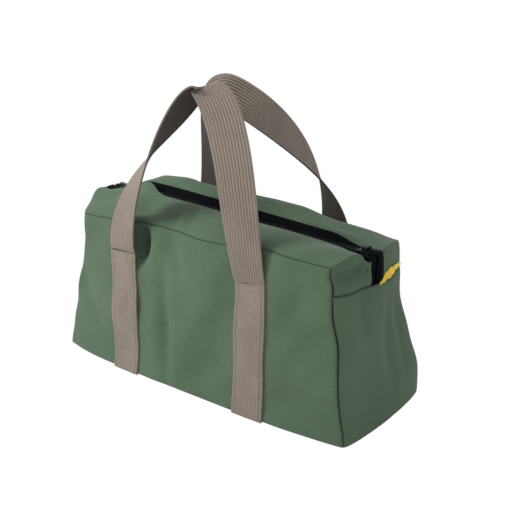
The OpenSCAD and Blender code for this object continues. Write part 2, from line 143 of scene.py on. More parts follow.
WIDE_FOLDS = (
    Fold((-0.140, -0.002, 0.166), (0.020, 0.060, 0.040), (0.0, 0.0, -0.0048)),
    Fold((-0.112, -0.030, 0.162), (0.020, 0.026, 0.030), (0.0, 0.0, -0.0030)),
)
FOLDS = (
    Fold((-0.063, -0.041, 0.160), (0.020, 0.012, 0.030), (0.0, 0.003, -0.009)),
    Fold((-0.139, -0.018, 0.160), (0.012, 0.008, 0.020), (0.0, -0.002, -0.004)),
    Fold((-0.054, -0.062, 0.130), (0.009, 0.022, 0.0155), (0.0, 0.021, -0.001)),
    Fold((-0.020, -0.050, 0.154), (0.007, 0.010, 0.016), (0.0, 0.0, -0.0022), 0.3),
    Fold((-0.004, -0.046, 0.156), (0.006, 0.010, 0.016), (0.0, 0.0, -0.0022), 0.3),
    Fold((0.020, -0.034, 0.158), (0.030, 0.012, 0.020), (0.0, 0.0, 0.0025)),
    Fold((-0.012, -0.066, 0.128), (0.009, 0.020, 0.022), (0.0, 0.0030, 0.0), 0.5),
    Fold((-0.022, -0.068, 0.060), (0.007, 0.020, 0.050), (0.0, 0.0032, 0.0), 0.03),
    Fold((-0.038, -0.068, 0.062), (0.010, 0.020, 0.050), (0.0, -0.0018, 0.0), 0.03),
    Fold((0.040, -0.068, 0.046), (0.016, 0.020, 0.040), (0.0, 0.0020, 0.0), -0.5),
    Fold((0.118, -0.064, 0.100), (0.010, 0.020, 0.045), (0.0, 0.0022, 0.0), -0.6),
    Fold((0.134, -0.062, 0.060), (0.012, 0.020, 0.050), (0.0, -0.0015, 0.0), -0.4),
    Fold((-0.130, -0.062, 0.070), (0.010, 0.020, 0.050), (0.0, 0.0022, 0.0), 0.5),
    Fold((-0.148, -0.055, 0.152), (0.016, 0.016, 0.014), (0.003, 0.002, -0.003)),
    Fold((0.170, 0.062, 0.026), (0.050, 0.036, 0.034), (0.004, 0.008, 0.0)),
    Fold((-0.168, -0.061, 0.010), (0.022, 0.022, 0.020), (-0.002, 0.001, 0.001)),
    Fold((-0.142, -0.058, 0.126), (0.030, 0.030, 0.026), (0.004, 0.0, 0.0)),
    Fold((0.170, -0.061, 0.010), (0.030, 0.030, 0.030), (0.003, -0.001, 0.0)),
    Fold((0.156, 0.036, 0.150), (0.024, 0.026, 0.026), (0.001, -0.001, -0.0048)),
    Fold((0.163, -0.021, 0.152), (0.017, 0.0085, 0.012), (-0.001, -0.003, -0.0060)),
    Fold((0.158, -0.052, 0.142), (0.012, 0.010, 0.0040), (-0.0050, 0.001, -0.001)),
    Fold((0.162, -0.036, 0.140), (0.012, 0.012, 0.0045), (-0.0055, 0.0, -0.001)),
    Fold((0.150, -0.040, 0.152), (0.016, 0.012, 0.010), (0.001, 0.0, 0.002)),
    Fold((0.166, -0.030, 0.110), (0.030, 0.010, 0.030), (-0.0035, 0.0, 0.0)),
    Fold((0.176, 0.010, 0.060), (0.030, 0.008, 0.040), (-0.0030, 0.0, 0.0), 0.2),
    Fold((0.176, 0.030, 0.070), (0.030, 0.007, 0.040), (-0.0025, 0.0, 0.0), 0.2),
)

# Length and share of each slow ripple in the cloth
RIPPLES = ((0.083, 1.0), (0.057, 0.7), (0.034, 0.35), (0.021, 0.16))


@dataclass(frozen=True)
class BagForm:
    """Sizes of the bag and the smooth surfaces that its cloth follows."""

    base_half_length: float = 0.168
    base_half_depth: float = 0.061
    seam_height: float = 0.150
    top_half_length: float = 0.142
    top_half_depth: float = 0.052
    side_swell: float = 0.007
    end_swell: float = 0.008
    end_seam_height: float = 0.127
    end_seam_dip: float = 0.005
    end_slope: float = 0.004
    zip_low: float = 0.150
    zip_high: float = 0.171
    top_lean: float = 0.010
    top_forward: float = 0.009
    zip_overrun: float = 0.0125
    zip_flat: float = 0.0065
    zip_edge: float = 0.0075
    rear_lift: float = 0.0052
    tape_drop: float = 0.00195
    chain_drop: float = 0.00235
    seam_roll: float = 0.0045
    seam_depth: float = 0.0022
    base_roll: float = 0.0025
    base_skirt: float = 0.0022
    ripple: float = 0.0011
    end_turn_in: float = 0.7
    end_turn_rise: float = 0.2
    skirt_height: float = 0.03
    lift_from: float = 0.0063
    lift_rise: float = 0.0008
    lift_reach: float = 0.022
    lift_end: float = 0.136
    lift_end_run: float = 0.03
    calm_zip: float = 0.008
    calm_zip_run: float = 0.012
    calm_foot: float = 0.004
    calm_top: float = 0.140
    calm_run: float = 0.02

    def half_depth(self, z: Rows) -> Rows:
        """Half depth at the corners, at a height."""
        return self.base_half_depth + (self.top_half_depth - self.base_half_depth) * z / self.seam_height

    def corner_x(self, z: Rows) -> Rows:
        """Half length of a long side at a height."""
        seam = self.top_half_length + self.end_slope
        lower = self.base_half_length + (seam - self.base_half_length) * z / self.end_seam_height
        drop = np.clip((self.seam_height - z) / (self.seam_height - self.end_seam_height), 0, 1)
        return np.where(z <= self.end_seam_height, lower, self.bend_x(self.top_half_depth, np.sqrt(drop)))

    def side_y(self, x: Rows, z: Rows) -> Rows:
        """Half depth of the bag at a place on a long side."""
        along = np.clip(np.abs(x) / self.base_half_length, 0, 1)
        fade = np.clip(1 - z / self.seam_height, 0, 1)
        skirt = self.base_skirt * np.clip(1 - z / self.skirt_height, 0, 1) ** 2
        return self.half_depth(z) + (self.side_swell * fade + skirt) * (1 - along**4)

    def end_x(self, y: Rows, z: Rows) -> Rows:
        """Half length of the bag at a place on an end."""
        seam = self.top_half_length + self.end_slope
        lean = self.base_half_length + (seam - self.base_half_length) * z / self.end_seam_height
        return lean + self.end_swell * (1 - (y / self.half_depth(z)) ** 2)

    def end_seam_z(self, y: Rows) -> Rows:
        """Height of the seam on an end."""
        return self.end_seam_height - self.end_seam_dip * (1 - (y / self.top_half_depth) ** 2)

    def zip_z(self, x: Rows) -> Rows:
        """Height of the zip at a place along the bag."""
        share = (x + self.top_half_length) / (2 * self.top_half_length)
        return self.zip_high + (self.zip_low - self.zip_high) * share

    def top_z(self, x: Rows, y: Rows, crown: Rows) -> Rows:
        """Height of one half of the top; y counts from the zip."""
        t = np.clip((y - self.zip_flat) / (self.top_half_depth - self.zip_flat), 0, 1)
        level = self.zip_z(x)
        return level + (self.seam_height - level) * t + 4 * crown * t * (1 - t)

    def zip_lift(self, x: Rows, y: Rows) -> Rows:
        """How far the rear half stands above the zip beside it; y counts from the zip."""
        clear = np.clip((y - self.lift_from) / self.lift_rise, 0, 1)
        fade = np.clip(1 - (y - self.zip_edge) / self.lift_reach, 0, 1) ** 2
        ends = np.clip((self.lift_end - np.abs(x)) / self.lift_end_run, 0, 1)
        return self.rear_lift * clear * fade * ends * ends * (3 - 2 * ends)

    def lead_x(self, y: Rows) -> Rows:
        """How far the level run of the top reaches."""
        return self.top_half_length + self.zip_overrun * (1 - (y / self.top_half_depth) ** 2)

    def seam_x(self, y: Rows) -> Rows:
        """How far the seam on an end stands out."""
        return self.top_half_length + self.end_slope + self.end_swell * (1 - (y / self.top_half_depth) ** 2)

    def bend_x(self, y: Rows, s: Rows) -> Rows:
        """Reach of the turned-down top; s runs from the level run to the end seam."""
        corner = self.seam_x(y) - self.end_slope / 4 * (y / self.top_half_depth) ** 2
        return self.lead_x(y) * (1 - s) ** 2 + 2 * corner * s * (1 - s) + self.seam_x(y) * s * s

    def lean_share(self, z: Rows) -> Rows:
        """Share of the top's lean at a height."""
        return np.clip(z / self.end_seam_height, 0, 1)

    def leaned(self, points: Rows) -> Rows:
        """Moves places over with the leaning bag."""
        share = self.lean_share(points[:, 2])[:, None]
        return points + share * np.array([self.top_lean, -self.top_forward, 0.0])

    def carried(self, points: Rows) -> Rows:
        """Lets places lean and sink with the wide folds, which carry the zip along."""
        points = self.leaned(points)
        moved = points.copy()
        for fold in WIDE_FOLDS:
            moved += fold.moves(points)
        return moved

    def settled(self, points: Rows) -> Rows:
        """Lets the cloth lean and settle: the folds, and a slow ripple over all of it.

        Args:
            points: places on the upright smooth surfaces, one row each.

        Returns:
            The places where the cloth lies.
        """
        moved = self.carried(points)
        points = self.leaned(points)
        for fold in FOLDS:
            moved += fold.moves(points)
        beside = np.abs(points[:, 1] + self.top_forward)
        raised = np.clip((points[:, 2] - self.calm_foot) / self.calm_run, 0, 1)
        off_zip = np.clip((beside - self.calm_zip) / self.calm_zip_run, 0, 1) * raised
        low = np.clip((self.calm_top - points[:, 2]) / self.calm_run, 0, 1)
        loose = np.maximum(off_zip, low * raised)
        waves = np.zeros_like(points)
        for k, (length, share) in enumerate(RIPPLES):
            # Each ripple runs its own way for each axis
            turn = 1.3 + 2.1 * k
            for axis in range(3):
                heading = np.array([
                    math.cos(turn + axis),
                    math.sin(1.7 * turn + axis),
                    math.cos(2.3 * turn + 2 * axis),
                ])
                heading /= np.linalg.norm(heading)
                angle = points @ heading * 2 * math.pi / length + 1.9 * k + 2.4 * axis
                waves[:, axis] += share * np.sin(angle)
        return moved + self.ripple * waves * loose[:, None]

    def tuck(self, z: Rows) -> Rows:
        """How far the cloth draws in at its foot, where it rolls into the base."""
        under = np.clip(self.base_roll - z, 0, self.base_roll)
        return self.base_roll - np.sqrt(np.maximum(self.base_roll**2 - under**2, 0))

    def bend_out(self, sign: Rows | float, s: Rows) -> Rows:
        """Directions out of the turned-down top; s runs from the level run to the end seam."""
        fall = self.seam_height - self.end_seam_height
        return unit(columns(sign * 2 * fall * s, 0 * s, 2 * self.end_slope * (1 - s) + 1e-4))

    def end_turn(self, end: End, like: Rows, below: bool) -> Rows:
        """Directions in which cloth turns in at an end seam, below it or above it."""
        rise = self.end_turn_rise if below else -self.end_turn_rise
        return columns(-end.value * self.end_turn_in + 0 * like, 0 * like, rise)

    def rolled(self, edge: Rows, towards: Rows) -> Rows:
        """How far cloth turns in beside a seam.

        Args:
            edge: distance of each place from the seam.
            towards: the direction in which the cloth turns in, one row each.

        Returns:
            One row of movement for each place.
        """
        near = np.clip(1 - edge / self.seam_roll, 0, 1)
        return (self.seam_depth * near**2)[:, None] * towards


FORM = BagForm()


# Making meshes


def unit(rows: Rows) -> Rows:
    """Rows made one metre long."""
    return rows / np.maximum(np.linalg.norm(rows, axis=-1, keepdims=True), 1e-12)


def columns(*parts: Rows | float) -> Rows:
    """Coordinates side by side as rows of points."""
    return np.stack(np.broadcast_arrays(*parts), axis=-1).astype(float)


def added(name: str, data: bpy.types.ID) -> Piece:
    """Adds an object with its data to the scene."""
    made = bpy.data.objects.new(name, data)
    bpy.context.scene.collection.objects.link(made)
    return made


def block(mesh: Mesh, size: Vec3, place: Vector) -> None:
    """Adds a box to a bmesh.

    Args:
        mesh: the bmesh.
        size: of the box along the axes.
        place: its middle.
    """
    made = bmesh.ops.create_cube(mesh, size=1.0)["verts"]
    bmesh.ops.scale(mesh, verts=made, vec=size)
    bmesh.ops.translate(mesh, verts=made, vec=place)


def as_object(mesh: Mesh, name: str, material: Material, smooth: bool = True) -> Piece:
    """Turns a finished bmesh into an object of the scene.

    Args:
        mesh: the bmesh, which is freed.
        name: the object's name.
        material: the finish of all its faces.
        smooth: whether its faces are shaded smooth.

    Returns:
        The new object, at the origin.
    """
    data = bpy.data.meshes.new(name)
    for face in mesh.faces:
        face.smooth = smooth
    mesh.to_mesh(data)
    mesh.free()
    data.materials.append(material)
    return added(name, data)


def cloth(
    name: str,
    spans: tuple[int, int],
    place: Place,
    size: tuple[float, float],
    material: Material,
    outward: Vec3,
    thickness: float = 0.0012,
    offset: float = -1.0,
    seams: tuple[bool, bool, bool, bool] = (False, False, False, False),
) -> Piece:
    """Makes a sheet of cloth from a grid.

    Args:
        name: the object's name.
        spans: faces along and across the grid.
        place: gives the points for shares along and across, each from 0 to 1.
        size: length and width of the flat cloth, for its weave.
        material: the finish.
        outward: a direction on the side where most faces look out.
        thickness: of the cloth.
        offset: -1 where the points lie on its outer face, 0 where they lie inside it.
        seams: whether its start, its end, its low edge and its high edge are sewn.

    Returns:
        The new object.
    """
    mesh = bmesh.new()
    bmesh.ops.create_grid(mesh, x_segments=spans[0], y_segments=spans[1], size=0.5)
    mesh.verts.ensure_lookup_table()
    share = np.array([v.co[:2] for v in mesh.verts]) + 0.5
    points = place(share[:, 0], share[:, 1])
    for vert, point in zip(mesh.verts, points):
        vert.co = point
    weave = mesh.loops.layers.uv.new("weave")
    beside = mesh.loops.layers.uv.new("seam_distance")
    # An edge that isn't sewn counts as endlessly far
    far = [0.0 if sewn else math.inf for sewn in seams]
    along = np.minimum(share[:, 0] + far[0], 1 - share[:, 0] + far[1]) * size[0]
    across = np.minimum(share[:, 1] + far[2], 1 - share[:, 1] + far[3]) * size[1]
    distance = np.minimum(np.stack([along, across], axis=1), 1.0)
    for face in mesh.faces:
        for loop in face.loops:
            u, v = share[loop.vert.index]
            loop[weave].uv = (u * size[0], v * size[1])
            loop[beside].uv = distance[loop.vert.index]
    for edge in mesh.edges:
        edge.smooth = not edge.is_boundary
    mesh.normal_update()
    facing = sum((f.normal * f.calc_area() for f in mesh.faces), Vector())
    if facing.dot(Vector(outward)) < 0:
        bmesh.ops.reverse_faces(mesh, faces=mesh.faces)
    made = as_object(mesh, name, material)
    wall = made.modifiers.new("wall", "SOLIDIFY")
    wall.thickness = thickness
    wall.offset = offset
    wall.use_even_offset = False
    return made


def stitches(
    name: str,
    line: Rows,
    normals: Rows,
    material: Material,
    size: Vec3 = (0.0026, 0.0007, 0.0005),
    pitch: float = 0.0036,
) -> Piece:
    """Makes a row of stitches along a line on cloth.

    Args:
        name: the object's name.
        line: points along the row.
        normals: the direction out of the cloth at each point.
        material: the thread's finish.
        size: length, width and height of one stitch.
        pitch: distance from one stitch to the next.

    Returns:
        The new object.
    """
    mesh = bmesh.new()
    mesh.loops.layers.uv.new("weave")
    run = np.concatenate([[0.0], np.cumsum(np.linalg.norm(np.diff(line, axis=0), axis=1))])
    at = (np.arange(int(run[-1] / pitch)) + 0.5) * pitch
    middles, heads, outs = (
        columns(*(np.interp(where, run, rows[:, k]) for k in range(3)))
        for where, rows in ((at, line), (at + size[0] / 2, line), (at, normals))
    )
    ahead = unit(heads - middles)
    across = unit(np.cross(outs, ahead))
    up = np.cross(ahead, across)
    for k in range(len(at)):
        turn = Matrix((ahead[k], across[k], up[k])).transposed().to_4x4()
        scale = Matrix.Diagonal((*size, 1.0))
        place = Matrix.Translation(Vector(middles[k]))
        bmesh.ops.create_icosphere(mesh, subdivisions=1, radius=0.5, matrix=place @ turn @ scale)
    return as_object(mesh, name, material)


# Finishes


class Graph:
    """Adds shader nodes to one tree in few words."""

    def __init__(self, tree: Tree) -> None:
        """Keeps the tree."""
        self.tree = tree

    def node(self, kind: str, **values: object) -> Node:
        """Adds a node.

        Args:
            kind: Blender's name of the node.
            values: properties of the node, or, where it has none of that name, values of its inputs.

        Returns:
            The node.
        """
        made = self.tree.nodes.new(kind)
        for key, value in values.items():
            if hasattr(made, key):
                setattr(made, key, value)
            else:
                made.inputs[key.replace("_", " ")].default_value = value
        return made

    def link(self, source: Socket, target: Socket) -> None:
        """Joins two sockets."""
        self.tree.links.new(source, target)

    def math(self, operation: str, *parts: Socket | float) -> Socket:
        """Adds a sum of sockets and numbers and gives its result."""
        made = self.tree.nodes.new("ShaderNodeMath")
        made.operation = operation
        for k, part in enumerate(parts):
            if isinstance(part, Socket):
                self.link(part, made.inputs[k])
            else:
                made.inputs[k].default_value = part
        return made.outputs[0]

    def mix(self, share: Socket | float, low: object, high: object) -> Socket:
        """Mixes two colours, each a socket or three numbers, and gives the result."""
        made = self.tree.nodes.new("ShaderNodeMix")
        made.data_type = "RGBA"
        for name, part in ((0, share), (6, low), (7, high)):
            if isinstance(part, Socket):
                self.link(part, made.inputs[name])
            elif isinstance(part, (int, float)):
                made.inputs[name].default_value = part
            else:
                made.inputs[name].default_value = (*part, 1)
        return made.outputs[2]

    def total(self, *parts: tuple[Socket, float]) -> Socket:
        """Adds up sockets, each times its share."""
        sockets = [self.math("MULTIPLY", socket, share) for socket, share in parts]
        result = sockets[0]
        for socket in sockets[1:]:
            result = self.math("ADD", result, socket)
        return result

    def clamp(self, value: Socket) -> Socket:
        """Keeps a number between 0 and 1."""
        return self.math("MINIMUM", self.math("MAXIMUM", value, 0.0), 1.0)

    def apart(self, source: Socket) -> Sequence[Socket]:
        """Splits a vector into its three numbers."""
        made = self.node("ShaderNodeSeparateXYZ")
        self.link(source, made.inputs[0])
        return made.outputs

    def stored(self, name: str) -> Socket:
        """Reads a layer that the cloth stores."""
        return self.node("ShaderNodeUVMap", uv_map=name).outputs[0]

    def shared(self, tree: Tree, place: Socket, **values: float) -> Sequence[Socket]:
        """Adds a shared group at a place and gives its results."""
        made = self.node("ShaderNodeGroup", node_tree=tree, **values)
        self.link(place, made.inputs["Vector"])
        return made.outputs

    def bump(self, shader: Node, height: Socket, strength: float, distance: float) -> None:
        """Raises a shader's surface by a height."""
        made = self.node("ShaderNodeBump", Strength=strength, Distance=distance)
        self.link(height, made.inputs["Height"])
        self.link(made.outputs[0], shader.inputs["Normal"])


def group(name: str, inputs: dict[str, float], outputs: Sequence[str]) -> tuple[Tree, Graph, Node, Node]:
    """Starts a shared shader node group that works on a vector.

    Args:
        name: its name.
        inputs: name and default of each number that it takes besides its vector.
        outputs: names of its outputs, which are numbers.

    Returns:
        The tree, its graph, its input node and its output node.
    """
    tree = bpy.data.node_groups.new(name, "ShaderNodeTree")
    tree.interface.new_socket("Vector", in_out="INPUT", socket_type="NodeSocketVector")
    for label, value in inputs.items():
        socket = tree.interface.new_socket(label, in_out="INPUT", socket_type="NodeSocketFloat")
        socket.default_value = value
    for label in outputs:
        tree.interface.new_socket(label, in_out="OUTPUT", socket_type="NodeSocketFloat")
    graph = Graph(tree)
    return tree, graph, graph.node("NodeGroupInput"), graph.node("NodeGroupOutput")


def weave_group() -> Tree:
    """Plain weave: yarns over and under each other, with uneven thickness."""
    tree, g, given, out = group("woven_yarns", {"Yarn": 0.0007}, ("Height", "Tone"))
    places = g.apart(given.outputs["Vector"])
    turn = g.math("DIVIDE", math.pi, given.outputs["Yarn"])
    lap = g.math("MULTIPLY", *(g.math("SINE", g.math("MULTIPLY", places[k], turn)) for k in (0, 1)))
    slub = g.node("ShaderNodeTexNoise", Scale=900.0, Detail=2.0)
    stretch = g.node("ShaderNodeMapping", Scale=(1.0, 0.14, 1.0))
    g.link(given.outputs["Vector"], stretch.inputs["Vector"])
    g.link(stretch.outputs[0], slub.inputs["Vector"])
    uneven = g.math("MULTIPLY", g.math("SUBTRACT", slub.outputs[0], 0.5), 0.35)
    g.link(g.math("ADD", g.math("MULTIPLY", lap, 0.5), uneven), out.inputs["Height"])
    g.link(g.total((lap, 0.25), (uneven, 2.0)), out.inputs["Tone"])
    return tree


def fading_group() -> Tree:
    """Uneven colour of dyed cloth: wide clouds and small flecks."""
    tree, g, given, out = group("dye_fading", {"Cloud": 14.0, "Fleck": 160.0}, ("Cloud", "Fleck"))
    for name, detail in (("Cloud", 3.0), ("Fleck", 4.0)):
        noise = g.node("ShaderNodeTexNoise", Detail=detail)
        g.link(given.outputs["Vector"], noise.inputs["Vector"])
        g.link(given.outputs[name], noise.inputs["Scale"])
        g.link(noise.outputs[0], out.inputs[name])
    return tree


WEAVE = weave_group()
FADING = fading_group()


def principled(
    name: str, roughness: float, sheen: float = 0.0, gloss: float = 0.5
) -> tuple[Material, Graph, Node]:
    """Starts a material.

    Args:
        name: its name.
        roughness: of its surface.
        sheen: weight of its fuzz.
        gloss: strength of its plain reflections.

    Returns:
        The material, its graph and its Principled shader.
    """
    made = bpy.data.materials.new(name)
    made.use_nodes = True
    graph = Graph(made.node_tree)
    shader = made.node_tree.nodes["Principled BSDF"]
    shader.inputs["Roughness"].default_value = roughness
    shader.inputs["Sheen Weight"].default_value = sheen
    shader.inputs["Sheen Roughness"].default_value = 0.5
    shader.inputs["Specular IOR Level"].default_value = gloss
    return made, graph, shader


@dataclass(frozen=True)
class WovenFinish:
    """A woven cloth or tape, told by its yarn and its dye; where a seam shade width is given, painted shade
    darkens it along its sewn edges.
    """

    name: str
    dark: Vec3
    light: Vec3
    yarn: float = 0.0007
    roughness: float = 0.88
    sheen: float = 0.12
    relief: float = 0.35
    tone: float = 0.16
    seam_width: float = 0.0
    seam_tone: float = 0.25
    seam_share: float = 0.85
    gloss: float = 0.5

    def build(self) -> Material:
        """Makes the material from the shared groups."""
        made, g, shader = principled(self.name, self.roughness, self.sheen, gloss=self.gloss)
        place = g.stored("weave")
        weave = g.shared(WEAVE, place, Yarn=self.yarn)
        fading = g.shared(FADING, place)
        share = g.total((fading["Cloud"], 0.75), (fading["Fleck"], 0.25), (weave["Tone"], self.tone))
        colour = g.mix(share, self.dark, self.light)
        # Painted shade in the seam creases: the colour darkens towards the sewn edges
        if self.seam_width:
            beside = g.apart(g.stored("seam_distance"))
            near = g.math("DIVIDE", g.math("MINIMUM", beside[0], beside[1]), self.seam_width)
            shade = g.math("SUBTRACT", 1.0, g.math("MINIMUM", near, 1.0))
            deep = tuple(self.seam_tone * part for part in self.dark)
            colour = g.mix(g.math("MULTIPLY", shade, self.seam_share), colour, deep)
        g.link(colour, shader.inputs["Base Color"])
        height = g.math("ADD", weave["Height"], g.math("MULTIPLY", fading["Fleck"], 0.8))
        g.bump(shader, height, self.relief, 0.0003)
        return made


@dataclass(frozen=True)
class WebbingFinish:
    """Ribbed webbing: slanted yarns that turn over at every rib."""

    name: str
    dark: Vec3
    light: Vec3
    inside: bool = False
    groove: float = 0.42
    rib: float = 0.0026
    stitch: float = 0.0016
    shade_from: float = 0.04
    shade_to: float = 0.26
    shade_depth: float = 0.58

    def shaded(self, g: Graph, colour: Socket) -> Socket:
        """Darkens the colour where the webbing looks in under the handles."""
        faces = g.apart(g.stored("shade"))
        share = g.math("SUBTRACT", faces[1 if self.inside else 0], self.shade_from)
        share = g.math("DIVIDE", share, self.shade_to - self.shade_from)
        deep = tuple((1 - self.shade_depth) * part for part in self.dark)
        return g.mix(g.clamp(share), colour, deep)

    def build(self) -> Material:
        """Makes the material: zigzag yarns across the ribs, and painted shade as dark lines in the grooves
        between them.
        """
        made, g, shader = principled(self.name, 0.9, 0.15)
        place = g.stored("weave")
        along, across = g.apart(place)[:2]
        row = g.math("DIVIDE", across, self.rib)
        slant = g.math("MULTIPLY", g.math("PINGPONG", row, 1.0), 0.9)
        run = g.math("ADD", g.math("DIVIDE", along, self.stitch), slant)
        yarn = g.math("SINE", g.math("MULTIPLY", run, 2 * math.pi))
        valley = g.math("POWER", g.math("ABSOLUTE", g.math("COSINE", g.math("MULTIPLY", row, math.pi))), 6.0)
        fading = g.shared(FADING, place, Cloud=30.0, Fleck=500.0)
        # Painted shade: the grooves between the ribs are darkened in the colour
        tone = g.total((fading["Cloud"], 0.5), (fading["Fleck"], 0.45), (yarn, 0.10), (valley, -self.groove))
        colour = g.mix(g.clamp(g.math("ADD", tone, 0.08)), self.dark, self.light)
        g.link(self.shaded(g, colour), shader.inputs["Base Color"])
        g.bump(shader, g.total((yarn, 0.4), (valley, -1.0), (fading["Fleck"], 0.9)), 0.6, 0.0003)
        return made


@dataclass(frozen=True)
class HardFinish:
    """Moulded or enamelled small parts, slightly scuffed."""

    name: str
    colour: Vec3
    worn: Vec3
    roughness: float
    gloss: float

    def build(self) -> Material:
        """Makes the material on the object's own coordinates."""
        made, g, shader = principled(self.name, self.roughness, gloss=self.gloss)
        place = g.node("ShaderNodeTexCoord").outputs["Object"]
        fading = g.shared(FADING, place, Cloud=120.0, Fleck=1400.0)
        scuff = g.math("MULTIPLY", g.math("POWER", fading["Fleck"], 3.0), 1.2)
        g.link(g.mix(scuff, self.colour, self.worn), shader.inputs["Base Color"])
        uneven = g.math("ADD", g.math("MULTIPLY", fading["Cloud"], 0.2), self.roughness - 0.1)
        g.link(uneven, shader.inputs["Roughness"])
        g.bump(shader, fading["Fleck"], 0.15, 0.0002)
        return made


@dataclass(frozen=True)
class RibbonFinish:
    """Satin yellow ribbon: painted shade makes it deep gold near the slider, and a painted highlight and a
    painted glow make it bright towards its tip.
    """

    name: str
    dark: Vec3
    light: Vec3
    glow: float = 0.16
    dark_run: float = 0.012
    brightening: float = 26.0

    def build(self) -> Material:
        """Makes the material, whose painted shade near the slider gives way to a painted highlight along the
        ribbon.
        """
        made, g, shader = principled(self.name, 0.5, 0.2)
        # Painted glow: the ribbon gives off a little light of its bright colour
        shader.inputs["Emission Color"].default_value = (*self.light, 1.0)
        shader.inputs["Emission Strength"].default_value = self.glow
        place = g.stored("weave")
        weave = g.shared(WEAVE, place, Yarn=0.0004)
        cloud = g.node("ShaderNodeTexNoise", Scale=140.0, Detail=2.0)
        g.link(place, cloud.inputs["Vector"])
        # Painted shade near the slider, turning into a painted highlight towards the tip
        along = g.math("MULTIPLY", g.math("SUBTRACT", g.apart(place)[0], self.dark_run), self.brightening)
        share = g.math("ADD", along, g.math("MULTIPLY", g.math("SUBTRACT", cloud.outputs[0], 0.5), 1.1))
        g.link(g.mix(g.clamp(share), self.dark, self.light), shader.inputs["Base Color"])
        g.bump(shader, weave["Height"], 0.3, 0.0002)
        return made


class Finishes:
    """All the materials of the bag."""

    def __init__(self) -> None:
        """Builds each material once."""
        # The canvas gets painted shade along its seams
        self.canvas = WovenFinish(
            "green_canvas", (0.066, 0.116, 0.068), (0.142, 0.226, 0.136), seam_width=0.0013
        ).build()
        self.lining = WovenFinish("canvas_inside", (0.075, 0.120, 0.073), (0.130, 0.195, 0.120)).build()
        brown, grey = (0.172, 0.134, 0.107), (0.475, 0.396, 0.334)
        self.webbing = WebbingFinish("grey_brown_webbing", brown, grey).build()
        # The sewn straps are pressed flatter, so their grooves get less painted shade
        self.webbing_sewn = WebbingFinish("grey_brown_webbing_sewn", brown, grey, groove=0.22).build()
        self.webbing_inside = WebbingFinish("grey_brown_webbing_inside", brown, grey, inside=True).build()
        self.tape = WovenFinish(
            "black_zip_tape", (0.002, 0.003, 0.003), (0.007, 0.009, 0.010),
            yarn=0.0005, roughness=0.9, sheen=0.0, relief=0.3, tone=0.2, gloss=0.08,
        ).build()
        self.binding = WovenFinish(
            "dark_binding", (0.008, 0.010, 0.008), (0.026, 0.030, 0.026), yarn=0.0006
        ).build()
        self.cord = WovenFinish(
            "black_cord_tape", (0.002, 0.002, 0.003), (0.008, 0.009, 0.010),
            yarn=0.0005, roughness=0.85, sheen=0.0, gloss=0.1,
        ).build()
        self.thread = WovenFinish(
            "green_thread", (0.13, 0.195, 0.12), (0.22, 0.31, 0.20), yarn=0.0003
        ).build()
        self.tan_thread = WovenFinish(
            "tan_thread", (0.24, 0.195, 0.155), (0.42, 0.36, 0.30), yarn=0.0003
        ).build()
        self.teeth = HardFinish(
            "black_zip_teeth", (0.004, 0.005, 0.006), (0.02, 0.02, 0.024), roughness=0.55, gloss=0.2
        ).build()
        self.slider = HardFinish(
            "black_enamel", (0.004, 0.004, 0.005), (0.03, 0.03, 0.033), roughness=0.45, gloss=0.25
        ).build()
        # The ribbon's dark and light colours are the painted shade and the painted highlight of one yellow
        self.ribbon = RibbonFinish("yellow_ribbon", (0.80, 0.46, 0.012), (1.0, 0.86, 0.045)).build()


class Maker:
    """Makes pieces of the bag in its finishes, on its form."""

    kind = "piece"
    form = FORM

    def __init__(self, finishes: Finishes) -> None:
        """Keeps the finishes."""
        self.finishes = finishes

    def tell(self, *pieces: Piece) -> None:
        """Notes the pieces that were made."""
        for piece in pieces:
            log.info("%s piece %s", self.kind, piece.name)


# The body of the bag


